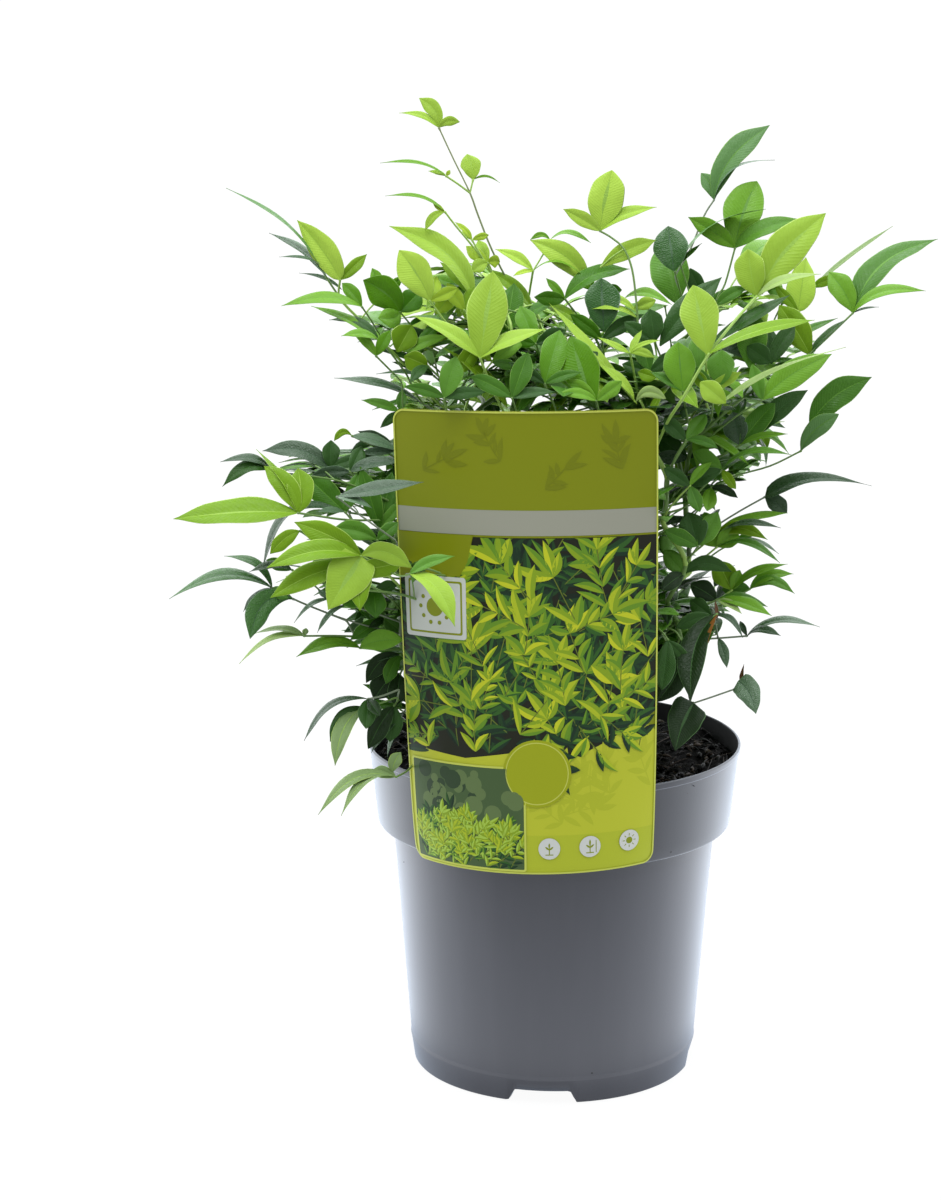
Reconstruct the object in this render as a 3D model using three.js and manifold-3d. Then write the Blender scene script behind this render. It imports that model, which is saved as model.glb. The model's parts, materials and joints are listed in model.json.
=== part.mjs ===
// Dwarf heavenly bamboo (Nandina) in its three-litre nursery pot, with the
// care card hooked over the rim. Millimetres, +Z up. The origin is on the
// ground, on the pot's axis. The front of the plant looks along -Y.
//
// The plant is canes that rise from the root ball, long leaf stalks that leave
// the canes, and one closed uneven solid for each cluster of leaves. Every
// solid keeps a small gap to its neighbours.

import * as THREE from 'three';
import { mergeVertices } from 'three/addons/utils/BufferGeometryUtils.js';
import Module from 'manifold-3d';

const wasm = await Module();
wasm.setup();

// ---------------------------------------------------------------- sizes

const GAP = 0.35;               // clearance between neighbouring solids

// nursery pot
const POT_HEIGHT = 169;
const RIM_R = 95;               // outside of the rim
const COLLAR_LOW_R = 90.6;      // outside of the collar at its lower edge
const COLLAR_LOW_Z = 127.7;
const BODY_TOP_R = 82.6;        // body just under the collar
const BODY_LOW_R = 73.5;        // body just over the foot
const FOOT_TOP_Z = 13.1;
const FOOT_TOP_R = 74.3;
const FOOT_R = 72.2;            // outside of the standing ring
const FOOT_INNER_R = 67.6;
const WALL = 1.3;
const FLOOR_UNDER_Z = 7.0;
const FLOOR_TOP_Z = 9.0;
const POT_SIDES = 32;
const NOTCHES = 4;              // drain notches through the standing ring
const NOTCH_WIDE = 34;
const NOTCH_TOP = 27;
const NOTCH_HIGH = 6.6;
const NOTCH_TURN = -93.6;       // azimuth of the front notch, degrees
const DRAIN_R = 6;
const DRAIN_AT_R = 50;

// root ball
const SOIL_Z = 161;             // mean height of the compost
const SOIL_UNEVEN = 1.6;
const SOIL_SIDES = 18;

// care card
const CARD_WIDE = 130.3;
const CARD_HIGH = 222;
const CARD_THICK = 0.8;
const CARD_LOW_Z = 128.4;
const CARD_CORNER = 6;          // radius of the card's corners
const CARD_FRONT = 99.5;        // how far before the pot's axis its lower edge stands
const CARD_LOW_R = 77.9;        // bend at the lower edge, gripped round the collar
const CARD_TOP_R = 197;         // flatter bend at the top
const CARD_LEAN = 19.5;         // how far the top leans back over the rim
const CARD_SHIFT = 1.7;         // off its middle, to the left
const CARD_TURN = -6.63;        // turned round the pot's axis, degrees
const CARD_ROLL = 1.57;         // turned in its own plane, degrees
const TONGUE_WIDE = 42;
const TONGUE_TOP_Z = 173.6;
const TONGUE_LOW_Z = 134;
const TONGUE_THICK = 0.8;
const TONGUE_FRONT = 96.0;      // where the tongue joins the card's back

// crown
const CROWN_REACH_X = 186;      // furthest leaf tip to either side
const CROWN_REACH_Y = 162;      // furthest leaf tip to front and back
const CROWN_TOP_Z = 492;        // tip of the tall young shoot
const CANES = 8;
const CANE_FOOT_RING = 27;      // the canes stand in a loose ring
const CANE_FOOT_R = 3.1;
const CANE_TOP_R = 1.7;
const CANE_SOCKET = 12;         // depth of the cane's foot in the compost
const STALK_FOOT_R = 1.35;
const STALK_TIP_R = 0.85;
const SHORTEST_STALK = 40;      // mm3: a shorter stub is left out

const deg = THREE.MathUtils.degToRad;

// ---------------------------------------------------------------- helpers

// a small seeded generator, so that every build is the same
function seeded(seed) {
  let s = seed >>> 0;
  return () => {
    s = (s + 0x6d2b79f5) >>> 0;
    let t = s;
    t = Math.imul(t ^ (t >>> 15), t | 1);
    t ^= t + Math.imul(t ^ (t >>> 7), t | 61);
    return ((t ^ (t >>> 14)) >>> 0) / 4294967296;
  };
}

function solidOf(geometry) {
  const g = geometry.clone();
  for (const name of Object.keys(g.attributes)) if (name !== 'position') g.deleteAttribute(name);
  const m = mergeVertices(g, 1e-4);
  const index = [];
  const id = m.index.array;
  for (let i = 0; i < id.length; i += 3) {
    if (id[i] !== id[i + 1] && id[i + 1] !== id[i + 2] && id[i] !== id[i + 2]) index.push(id[i], id[i + 1], id[i + 2]);
  }
  return new wasm.Manifold(new wasm.Mesh({
    numProp: 3,
    vertProperties: new Float32Array(m.attributes.position.array),
    triVerts: new Uint32Array(index),
  }));
}

function geometryOf(solid) {
  const mesh = solid.getMesh();
  const g = new THREE.BufferGeometry();
  const p = new Float32Array(mesh.vertProperties.length / mesh.numProp * 3);
  for (let i = 0; i < p.length / 3; i++) for (let k = 0; k < 3; k++) p[3 * i + k] = mesh.vertProperties[mesh.numProp * i + k];
  g.setAttribute('position', new THREE.BufferAttribute(p, 3));
  g.setIndex(new THREE.BufferAttribute(new Uint32Array(mesh.triVerts), 1));
  g.computeVertexNormals();
  return g;
}

// the largest piece of a cut solid
function largest(solid) {
  const parts = solid.decompose();
  parts.sort((a, b) => b.volume() - a.volume());
  return parts[0];
}

function moveVertices(geometry, fn) {
  const p = geometry.attributes.position;
  const v = new THREE.Vector3();
  for (let i = 0; i < p.count; i++) {
    v.fromBufferAttribute(p, i);
    fn(v);
    p.setXYZ(i, v.x, v.y, v.z);
  }
  return geometry;
}

const turned = (geometry, axis, angle) => geometry.applyMatrix4(new THREE.Matrix4().makeRotationAxis(axis, angle));
const Z = new THREE.Vector3(0, 0, 1);

// a tapering limb: a cylinder bent along a curve
function limb(curve, r0, r1, sides, steps) {
  const g = new THREE.CylinderGeometry(r1, r0, 1, sides, steps);
  const frames = curve.computeFrenetFrames(steps, false);
  return moveVertices(g, (v) => {
    const t = Math.min(1, Math.max(0, v.y + 0.5));
    const k = Math.round(t * steps);
    const at = curve.getPointAt(t);
    const n = frames.normals[k], b = frames.binormals[k];
    const x = v.x, z = v.z;
    v.copy(at).addScaledVector(n, z).addScaledVector(b, x);
  });
}

// ---------------------------------------------------------------- pot

function potSolid() {
  const slope = (RIM_R - COLLAR_LOW_R) / (POT_HEIGHT - COLLAR_LOW_Z);
  const profile = [
    [0, FLOOR_UNDER_Z],
    [FOOT_INNER_R - 1.6, FLOOR_UNDER_Z],
    [FOOT_INNER_R, 0],
    [FOOT_R, 0],
    [FOOT_TOP_R, FOOT_TOP_Z],
    [BODY_LOW_R, FOOT_TOP_Z + 1],
    [BODY_TOP_R, COLLAR_LOW_Z],
    [COLLAR_LOW_R, COLLAR_LOW_Z + 0.6],
    [RIM_R - slope * 3 - 0.3, POT_HEIGHT - 3],
    [RIM_R, POT_HEIGHT - 2.4],
    [RIM_R, POT_HEIGHT],
    [RIM_R - WALL, POT_HEIGHT],
    [COLLAR_LOW_R - WALL + 0.25, COLLAR_LOW_Z + 2],
    [BODY_TOP_R - WALL, COLLAR_LOW_Z + 1.3],
    [BODY_LOW_R - WALL, FLOOR_TOP_Z],
    [0, FLOOR_TOP_Z],
  ].map(([r, z]) => new THREE.Vector2(r, z));
  const lathe = new THREE.LatheGeometry(profile, POT_SIDES);
  lathe.rotateX(Math.PI / 2);           // the lathe turns round Y: stand it up
  let pot = solidOf(lathe);

  const notch = new THREE.Shape();
  notch.moveTo(-NOTCH_WIDE / 2, -1);
  notch.lineTo(NOTCH_WIDE / 2, -1);
  notch.lineTo(NOTCH_WIDE / 2, 0.4);
  notch.quadraticCurveTo(NOTCH_TOP / 2 + 1.2, NOTCH_HIGH - 0.6, NOTCH_TOP / 2 - 2, NOTCH_HIGH);
  notch.lineTo(-NOTCH_TOP / 2 + 2, NOTCH_HIGH);
  notch.quadraticCurveTo(-NOTCH_TOP / 2 - 1.2, NOTCH_HIGH - 0.6, -NOTCH_WIDE / 2, 0.4);
  notch.closePath();
  for (let i = 0; i < NOTCHES; i++) {
    const g = new THREE.ExtrudeGeometry(notch, { depth: 26, bevelEnabled: false, curveSegments: 2 });
    g.rotateX(Math.PI / 2);             // now x across, z up, and depth towards -y
    g.translate(0, -58, 0);
    turned(g, Z, deg(NOTCH_TURN + 90 + (360 / NOTCHES) * i));
    pot = pot.subtract(solidOf(g));
    const hole = new THREE.CylinderGeometry(DRAIN_R, DRAIN_R, 8, 8);
    hole.rotateX(Math.PI / 2);
    hole.translate(0, -DRAIN_AT_R, (FLOOR_UNDER_Z + FLOOR_TOP_Z) / 2);
    turned(hole, Z, deg(NOTCH_TURN + 90 + 45 + (360 / NOTCHES) * i));
    pot = pot.subtract(solidOf(hole));
  }
  return pot;
}

// ---------------------------------------------------------------- care card

// from flat (x across, y thickness, z up from the lower edge) to standing
function standCard(v) {
  const a = deg(CARD_ROLL);
  const s = v.x * Math.cos(a) - v.z * Math.sin(a) - CARD_SHIFT;
  const h = v.x * Math.sin(a) + v.z * Math.cos(a);
  const up = Math.min(1, Math.max(0, h / CARD_HIGH));
  const k = THREE.MathUtils.lerp(1 / CARD_LOW_R, 1 / CARD_TOP_R, up ** 0.7);
  const front = -CARD_FRONT + CARD_LEAN * up ** 1.08;
  const r = 1 / k - v.y;                // v.y is minus on the front face
  const x = r * Math.sin(k * s);
  const y = front + 1 / k - r * Math.cos(k * s);
  const t = deg(CARD_TURN);
  v.set(x * Math.cos(t) - y * Math.sin(t), x * Math.sin(t) + y * Math.cos(t), CARD_LOW_Z + h);
}

function tongueSolid(grow) {
  const slope = (RIM_R - COLLAR_LOW_R) / (POT_HEIGHT - COLLAR_LOW_Z);
  const inner = (z) => RIM_R - WALL - slope * (POT_HEIGHT - z);
  const g0 = 0.75 - grow, t = TONGUE_THICK + 2 * grow;
  const top = TONGUE_TOP_Z + grow, low = TONGUE_LOW_Z - grow;
  const s = new THREE.Shape();          // x is the distance from the axis, y the height
  s.moveTo(TONGUE_FRONT, top);
  s.lineTo(inner(POT_HEIGHT) - g0 - t * 0.5, top);
  s.lineTo(inner(POT_HEIGHT) - g0 - t, top - 1);
  s.lineTo(inner(low) - g0 - t, low);
  s.lineTo(inner(low) - g0, low);
  s.lineTo(inner(POT_HEIGHT) - g0, top - t - 0.6);
  s.lineTo(TONGUE_FRONT, top - t);
  s.closePath();
  const wide = TONGUE_WIDE + 2 * grow;
  const g = new THREE.ExtrudeGeometry(s, { depth: wide, steps: 5, bevelEnabled: false });
  moveVertices(g, (v) => {
    const r = v.x, z = v.y, a = (v.z - wide / 2) / RIM_R + deg(-90 + CARD_TURN);
    v.set(r * Math.cos(a), r * Math.sin(a), z);
  });
  return solidOf(flipIfInside(g));
}

// an extrusion that was mirrored by its bend has its faces turned back
function flipIfInside(g) {
  const q = g.index ? g.toNonIndexed() : g;
  const p = q.attributes.position;
  let vol = 0;
  const a = new THREE.Vector3(), b = new THREE.Vector3(), c = new THREE.Vector3();
  for (let i = 0; i < p.count; i += 3) {
    a.fromBufferAttribute(p, i); b.fromBufferAttribute(p, i + 1); c.fromBufferAttribute(p, i + 2);
    vol += a.dot(b.cross(c)) / 6;
  }
  if (vol < 0) {
    for (let i = 0; i < p.count; i += 3) {
      a.fromBufferAttribute(p, i + 1); b.fromBufferAttribute(p, i + 2);
      p.setXYZ(i + 1, b.x, b.y, b.z); p.setXYZ(i + 2, a.x, a.y, a.z);
    }
  }
  return q;
}

function cardSolid() {
  const box = new THREE.BoxGeometry(CARD_WIDE, CARD_THICK, CARD_HIGH, 10, 1, 6);
  box.translate(0, 0, CARD_HIGH / 2);
  moveVertices(box, (v) => {
    // the corner points come in, which rounds the corners off
    const end = Math.abs(v.z - CARD_HIGH / 2) > CARD_HIGH / 2 - 0.1;
    if (end && Math.abs(v.x) > CARD_WIDE / 2 - 0.1) {
      v.x -= Math.sign(v.x) * CARD_CORNER * 0.3;
      v.z -= Math.sign(v.z - CARD_HIGH / 2) * CARD_CORNER * 0.3;
    }
    standCard(v);
  });
  return solidOf(box);
}

// ---------------------------------------------------------------- crown

// One row for each mass of leaves: its place round the axis (azimuth in
// degrees, distance, height), its half sizes (out, across, up), the number of
// leafy points it throws out, and its furthest leaf tips, each as azimuth,
// distance and height. A mass either sits on a cane or on a stalk of its own.
const FACETS = { big: 2, small: 2 };
const MASSES = [
  // the tall young shoot over the left shoulder
  { name: 'shoot_tip', az: 180, out: 61, z: 476, half: [12, 8, 9], points: 3, facets: 'small', seed: 3, tips: [[180, 68, CROWN_TOP_Z], [176, 79, 485], [176, 49, 482]] },
  { name: 'shoot_leaves', az: 186, out: 48, z: 445, half: [17, 13, 12], points: 4, facets: 'small', seed: 5, tips: [[187, 87, 461], [160, 30, 451], [193, 86, 446]] },
  // top of the crown
  { name: 'top_centre', az: 10, out: 22, z: 418, half: [27, 24, 22], points: 5, facets: 'small', seed: 7, tips: [[5, 28, 458], [2, 49, 441], [80, 8, 440]] },
  { name: 'top_right', az: 10, out: 82, z: 441, half: [18, 17, 16], points: 4, facets: 'small', seed: 11, tips: [[11, 106, 479], [11, 109, 462]] },
  { name: 'upper_right', az: 4, out: 106, z: 406, half: [30, 27, 22], points: 6, facets: 'small', seed: 13, tips: [[2, 131, 437], [6, 99, 452]] },
  { name: 'far_right', az: 0, out: 142, z: 377, half: [25, 24, 18], points: 5, facets: 'small', seed: 17, tips: [[-1, CROWN_REACH_X, 424], [4, 167, 431], [-7, 180, 401]] },
  { name: 'upper_left', az: 187, out: 118, z: 401, half: [28, 25, 21], points: 6, facets: 'small', seed: 19, tips: [[184, 162, 449], [189, 143, 428], [193, 137, 394], [184, 127, 434]] },
  { name: 'left_shoulder', az: 200, out: 66, z: 376, half: [36, 36, 30], points: 7, facets: 'big', seed: 23, tips: [[190, 86, 432], [196, 113, 361]] },
  { name: 'heart', az: 300, out: 18, z: 350, half: [48, 42, 34], points: 7, facets: 'big', seed: 29, tips: [[285, 74, 372]] },
  { name: 'right_shoulder', az: 352, out: 80, z: 352, half: [38, 38, 28], points: 7, facets: 'small', seed: 31, tips: [[356, 155, 357], [352, 137, 383]] },
  // the middle of the crown
  { name: 'middle_left', az: 204, out: 122, z: 306, half: [38, 34, 26], points: 7, facets: 'small', seed: 37, tips: [[206, 198, 302], [194, 168, 316]] },
  { name: 'middle_right', az: 348, out: 104, z: 296, half: [38, 38, 26], points: 8, facets: 'big', seed: 41, tips: [[356, 156, 303], [350, 121, 277]] },
  { name: 'middle_front', az: 250, out: 34, z: 286, half: [52, 36, 38], points: 6, facets: 'small', seed: 43, tips: [] },
  { name: 'front_left', az: 226, out: 116, z: 258, half: [30, 30, 24], points: 6, facets: 'small', seed: 47, tips: [[228, 156, 262]] },
  { name: 'front_right', az: 308, out: 120, z: 292, half: [32, 32, 26], points: 7, facets: 'big', seed: 53, tips: [[300, CROWN_REACH_Y / Math.sin(deg(60)), 298]] },
  // low leaves
  { name: 'low_left', az: 198, out: 122, z: 246, half: [38, 32, 22], points: 6, facets: 'small', seed: 59, tips: [[198, CROWN_REACH_X / Math.cos(deg(18)), 258], [201, 165, 224]] },
  { name: 'hanging_left', az: 216, out: 112, z: 199, half: [24, 22, 17], points: 5, facets: 'small', seed: 61, tips: [[214, 142, 191], [219, 145, 156]] },
  { name: 'low_right', az: 342, out: 88, z: 238, half: [36, 36, 24], points: 7, facets: 'small', seed: 67, tips: [[351, 133, 233]] },
  { name: 'hanging_right', az: 328, out: 84, z: 200, half: [20, 26, 14], points: 4, facets: 'small', seed: 71, tips: [[343, 106, 192], [311, 92, 184]] },
  // the side away from the front
  { name: 'back_top', az: 112, out: 60, z: 390, half: [42, 42, 30], points: 8, facets: 'small', seed: 73, tips: [[108, 88, 436], [140, 104, 420]] },
  { name: 'back_left', az: 144, out: 108, z: 324, half: [42, 42, 30], points: 8, facets: 'small', seed: 79, tips: [[142, 176, 336]] },
  { name: 'back_right', az: 42, out: 110, z: 330, half: [42, 42, 30], points: 8, facets: 'small', seed: 83, tips: [[42, 176, 352]] },
  { name: 'back_middle', az: 92, out: 102, z: 292, half: [40, 44, 30], points: 8, facets: 'small', seed: 89, tips: [[92, CROWN_REACH_Y / Math.sin(deg(92)), 312]] },
  { name: 'back_low', az: 84, out: 84, z: 226, half: [36, 60, 22], points: 8, facets: 'small', seed: 97, tips: [[60, 138, 220], [112, 130, 214]] },
];

const polar = (az, out, z) => new THREE.Vector3(out * Math.cos(deg(az)), out * Math.sin(deg(az)), z);

// a star-shaped body: an uneven ellipsoid with pointed lobes
function massGeometry(row, grow) {
  const at = polar(row.az, row.out, row.z);
  const g = new THREE.IcosahedronGeometry(1, FACETS[row.facets]);
  for (const n of Object.keys(g.attributes)) if (n !== 'position') g.deleteAttribute(n);
  const m = mergeVertices(g, 1e-4);
  const [ho, ha, hu] = row.half;
  const out = polar(row.az, 1, 0);
  const across = new THREE.Vector3(-out.y, out.x, 0);
  const base = (d) => 1 / Math.sqrt((d.dot(out) / ho) ** 2 + (d.dot(across) / ha) ** 2 + (d.z / hu) ** 2);
  const rnd = seeded(row.seed);
  const lobes = row.tips.map(([az, o, z]) => {
    const dir = polar(az, o, z).sub(at);
    const len = dir.length();
    return { dir: dir.normalize(), len, named: true };
  });
  for (let i = 0; i < row.points; i++) {
    // points leave outwards and a little upwards or downwards, all the way round
    const a = (2 * Math.PI * (i + rnd() * 0.6)) / row.points;
    const e = (rnd() - 0.35) * 1.2;
    const dir = new THREE.Vector3().addScaledVector(out, Math.cos(a) * Math.cos(e)).addScaledVector(across, Math.sin(a) * Math.cos(e));
    dir.z = Math.sin(e);
    dir.normalize();
    lobes.push({ dir, len: base(dir) * (1.28 + 0.25 * rnd()), named: false });
  }
  const wob = [0, 1, 2].map(() => new THREE.Vector3(rnd() * 5 - 2.5, rnd() * 5 - 2.5, rnd() * 5 - 2.5));
  const p = m.attributes.position;
  const d = new THREE.Vector3();
  const radius = new Float32Array(p.count);
  for (let i = 0; i < p.count; i++) {
    d.fromBufferAttribute(p, i).normalize();
    let r = base(d) * (1 + 0.06 * wob.reduce((s, w) => s + Math.sin(3 * w.dot(d)), 0));
    for (const l of lobes) {
      const ang = Math.acos(Math.min(1, Math.max(-1, d.dot(l.dir))));
      const w = Math.exp(-((ang / 0.3) ** 2));
      r += Math.max(0, l.len - r) * w * 0.85;
    }
    radius[i] = r;
  }
  const place = new Float32Array(p.count * 3);
  for (let i = 0; i < p.count; i++) {
    d.fromBufferAttribute(p, i).normalize().multiplyScalar(radius[i] + grow);
    place.set([at.x + d.x, at.y + d.y, at.z + d.z], 3 * i);
  }
  // the nearest vertex is drawn out to each named leaf tip
  const taken = new Set();
  for (const l of lobes.filter((q) => q.named)) {
    let best = -1, dot = -2;
    for (let i = 0; i < p.count; i++) {
      if (taken.has(i)) continue;
      d.fromBufferAttribute(p, i).normalize();
      if (d.dot(l.dir) > dot) { dot = d.dot(l.dir); best = i; }
    }
    taken.add(best);
    d.copy(l.dir).multiplyScalar(l.len + grow);
    place.set([at.x + d.x, at.y + d.y, at.z + d.z], 3 * best);
  }
  m.setAttribute('position', new THREE.BufferAttribute(place, 3));
  return m;
}

// canes stand in a ring and lean outwards; each carries the masses nearest it
const canes = [];
{
  const rnd = seeded(211);
  for (let i = 0; i < CANES; i++) {
    const az = 20 + (360 / CANES) * i + (rnd() - 0.5) * 16;
    const ring = CANE_FOOT_RING * (0.65 + 0.5 * rnd());
    const high = 262 + 62 * rnd();
    const foot = polar(az, ring, SOIL_Z - CANE_SOCKET);
    const top = polar(az + (rnd() - 0.5) * 20, ring + 16 + 12 * rnd(), high);
    const curve = new THREE.CatmullRomCurve3([
      foot,
      foot.clone().lerp(top, 0.35).add(polar(az, -2.5, 0)),
      foot.clone().lerp(top, 0.7).add(polar(az, -1.5, 0)),
      top,
    ]);
    canes.push({ name: `cane_${i + 1}`, az, curve, high });
  }
}
const caneGeometry = (c, grow) => limb(c.curve, CANE_FOOT_R + grow, CANE_TOP_R + grow, 5, 4);

// the tall shoot is one limb from the cane tops to the highest leaves
const shootCurve = new THREE.CatmullRomCurve3([
  polar(200, 12, 322), polar(192, 14, 356), polar(187, 25, 402), polar(185, 40, 436), polar(181, 57, 468),
]);
const shootGeometry = (grow) => limb(shootCurve, 1.9 + grow, 0.9 + grow, 5, 8);

// each other mass has a stalk that leaves the nearest cane and arches out
function angleBetween(a, b) {
  return Math.abs((((a - b) % 360) + 540) % 360 - 180);
}
function stalkCurve(row) {
  let best = canes[0];
  for (const c of canes) if (angleBetween(c.az, row.az) < angleBetween(best.az, row.az)) best = c;
  const at = polar(row.az, row.out, row.z);
  // the stalk leaves the cane below the mass, or near the cane's top
  let leave = 0.92;
  for (let t = 0.92; t > 0.3; t -= 0.02) {
    const q = best.curve.getPointAt(t);
    if (q.z < row.z - 0.45 * Math.hypot(at.x - q.x, at.y - q.y)) { leave = t; break; }
    leave = t;
  }
  const a = best.curve.getPointAt(leave);
  const mid = a.clone().lerp(at, 0.5);
  mid.z += 0.12 * at.distanceTo(a);
  return new THREE.CatmullRomCurve3([a, mid, at]);
}

const group = new THREE.Group();
const materials = {
  pot: new THREE.MeshStandardMaterial({ color: 0x55565b, roughness: 0.42, metalness: 0 }),
  soil: new THREE.MeshStandardMaterial({ color: 0x231a15, roughness: 0.95, metalness: 0 }),
  card: new THREE.MeshStandardMaterial({ color: 0x8a9524, roughness: 0.35, metalness: 0 }),
  cane: new THREE.MeshStandardMaterial({ color: 0x5b5a34, roughness: 0.7, metalness: 0 }),
  stalk: new THREE.MeshStandardMaterial({ color: 0x7d9a4a, roughness: 0.6, metalness: 0 }),
  leaf: new THREE.MeshStandardMaterial({ color: 0x5f9a2e, roughness: 0.5, metalness: 0 }),
};
function add(name, solid, material) {
  const mesh = new THREE.Mesh(geometryOf(solid), material);
  mesh.name = name;
  group.add(mesh);
}

// pot, card and root ball
add('pot', potSolid(), materials.pot);
const card = cardSolid().add(tongueSolid(0));
add('care_card', card, materials.card);

function rootBall() {
  const slope = (RIM_R - COLLAR_LOW_R) / (POT_HEIGHT - COLLAR_LOW_Z);
  const inner = (z) => RIM_R - WALL - slope * (POT_HEIGHT - z) - GAP;
  const profile = [
    [0, FLOOR_TOP_Z + GAP],
    [BODY_LOW_R - WALL - GAP - 0.3, FLOOR_TOP_Z + GAP],
    [BODY_TOP_R - WALL - GAP - 0.3, COLLAR_LOW_Z + 1.6],
    [inner(COLLAR_LOW_Z + 5) - 1.2, COLLAR_LOW_Z + 4.5],
    [inner(SOIL_Z) - 0.6, SOIL_Z - 1.5],
    [58, SOIL_Z],
    [0, SOIL_Z],
  ].map(([r, z]) => new THREE.Vector2(r, z));
  const g = new THREE.LatheGeometry(profile, SOIL_SIDES);
  g.rotateX(Math.PI / 2);
  moveVertices(g, (v) => {
    if (v.z < SOIL_Z - 0.5) return;
    v.z += SOIL_UNEVEN * (Math.sin(v.x * 0.09 + 1) * Math.cos(v.y * 0.11) + 0.5 * Math.sin(v.x * 0.05 - v.y * 0.07));
  });
  let ball = solidOf(g).subtract(tongueSolid(GAP));
  for (const c of canes) ball = ball.subtract(solidOf(caneGeometry(c, GAP)));
  return largest(ball);
}
add('root_ball', rootBall(), materials.soil);

// limbs
const caneSolids = canes.map((c) => solidOf(caneGeometry(c, 0)));
const caneRoom = canes.map((c) => solidOf(caneGeometry(c, GAP + 0.15)));
const shoot = solidOf(shootGeometry(0));
const shootRoom = solidOf(shootGeometry(GAP + 0.15));
const cardRoom = solidOf((() => {
  const box = new THREE.BoxGeometry(CARD_WIDE + 3, CARD_THICK + 3, CARD_HIGH + 3, 10, 1, 6);
  box.translate(0, 0, CARD_HIGH / 2);
  return moveVertices(box, standCard);
})());

const rows = MASSES.map((row) => ({ ...row, blob: solidOf(massGeometry(row, 0)), room: solidOf(massGeometry(row, 1.3)) }));
const onShoot = new Set(['shoot_tip', 'shoot_leaves']);
for (const row of rows) {
  if (onShoot.has(row.name)) continue;
  const curve = stalkCurve(row);
  row.stalk = solidOf(limb(curve, STALK_FOOT_R, STALK_TIP_R, 5, 3));
  row.stalkRoom = solidOf(limb(curve, STALK_FOOT_R + GAP + 0.15, STALK_TIP_R + GAP + 0.2, 5, 3));
}

canes.forEach((c, i) => {
  let s = caneSolids[i];
  for (let j = 0; j < i; j++) s = s.subtract(caneRoom[j]);
  add(c.name, largest(s), materials.cane);
});
{
  let s = shoot;
  for (const r of caneRoom) s = s.subtract(r);
  s = s.subtract(rows.find((r) => r.name === 'shoot_tip').room);
  add('tall_shoot', largest(s), materials.stalk);
}
rows.forEach((row, i) => {
  if (!row.stalk) return;
  let s = row.stalk.subtract(row.room).subtract(shootRoom).subtract(cardRoom);
  for (const r of caneRoom) s = s.subtract(r);
  for (let j = 0; j < i; j++) if (rows[j].stalkRoom) s = s.subtract(rows[j].stalkRoom);
  const piece = largest(s);
  // a mass that wraps its cane needs no stalk
  if (!piece || piece.volume() < SHORTEST_STALK) { row.stalkRoom = null; return; }
  add(`stalk_${row.name}`, piece, materials.stalk);
});

// masses: each is cut back from the ones before it and from every limb
rows.forEach((row, i) => {
  let s = row.blob;
  for (let j = 0; j < i; j++) s = s.subtract(rows[j].room);
  for (const r of caneRoom) s = s.subtract(r);
  s = s.subtract(cardRoom);
  if (row.name !== 'shoot_tip') s = s.subtract(shootRoom);
  rows.forEach((other) => { if (other !== row && other.stalkRoom) s = s.subtract(other.stalkRoom); });
  add(`leaves_${row.name}`, largest(s).simplify(0.4), materials.leaf);
});

export default group;
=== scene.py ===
"""Looks of the potted heavenly bamboo: a nursery pot with compost, a bent printed label, canes, and
leaflets that grow on from the canes by a seeded rule, with the sprays that show most set one by one."""

import json
import math
import random

import bmesh
import bpy
import numpy as np
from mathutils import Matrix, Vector

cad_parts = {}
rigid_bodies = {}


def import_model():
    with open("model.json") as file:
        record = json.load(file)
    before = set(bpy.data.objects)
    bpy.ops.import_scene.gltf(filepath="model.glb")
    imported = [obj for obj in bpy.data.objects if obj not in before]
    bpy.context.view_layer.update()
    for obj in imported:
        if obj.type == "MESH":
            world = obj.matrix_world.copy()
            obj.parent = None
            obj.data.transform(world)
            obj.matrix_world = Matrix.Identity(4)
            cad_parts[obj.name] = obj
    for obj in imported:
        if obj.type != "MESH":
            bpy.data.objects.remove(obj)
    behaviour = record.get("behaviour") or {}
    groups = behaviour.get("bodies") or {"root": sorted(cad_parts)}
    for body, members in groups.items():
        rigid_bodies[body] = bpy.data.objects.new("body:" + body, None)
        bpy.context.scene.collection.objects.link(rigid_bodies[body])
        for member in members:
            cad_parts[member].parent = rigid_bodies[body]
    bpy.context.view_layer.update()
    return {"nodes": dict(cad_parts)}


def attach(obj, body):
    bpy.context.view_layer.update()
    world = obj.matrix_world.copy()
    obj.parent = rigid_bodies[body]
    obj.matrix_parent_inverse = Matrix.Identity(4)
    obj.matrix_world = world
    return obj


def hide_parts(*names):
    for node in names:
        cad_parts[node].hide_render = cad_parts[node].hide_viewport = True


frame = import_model()
NODES = frame["nodes"]
MM = 0.001
rng = np.random.default_rng(20)

# ------------------------------------------------------------------ camera

CAM = np.array([0.0, -1400.0, 555.4])  # mm
YAW, PITCH, FOCAL_PX = math.radians(-1.755), math.radians(12.63), 2831.0
cy, sy, cp, sp = math.cos(YAW), math.sin(YAW), math.cos(PITCH), math.sin(PITCH)
FWD = np.array([sy * cp, cy * cp, -sp])
RIGHT = np.array([cy, -sy, 0.0])
UP = np.cross(RIGHT, FWD)

cam_data = bpy.data.cameras.new("camera")
cam = bpy.data.objects.new("camera", cam_data)
bpy.context.collection.objects.link(cam)
cam.location = Vector(CAM * MM)
cam.rotation_euler = (math.pi / 2 - PITCH, 0, -YAW)
cam_data.sensor_fit = "AUTO"
cam_data.sensor_width = 36.0
cam_data.lens = FOCAL_PX / 1200.0 * 36.0
cam_data.clip_end = 100
bpy.context.scene.camera = cam


def spot(px, py, y):
    """The point, in mm, that shows at this place of the 941x1200 view and lies at depth y."""
    d = FWD + RIGHT * ((px - 470.5) / FOCAL_PX) - UP * ((py - 600) / FOCAL_PX)
    return CAM + d * ((y - CAM[1]) / d[1])


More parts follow.
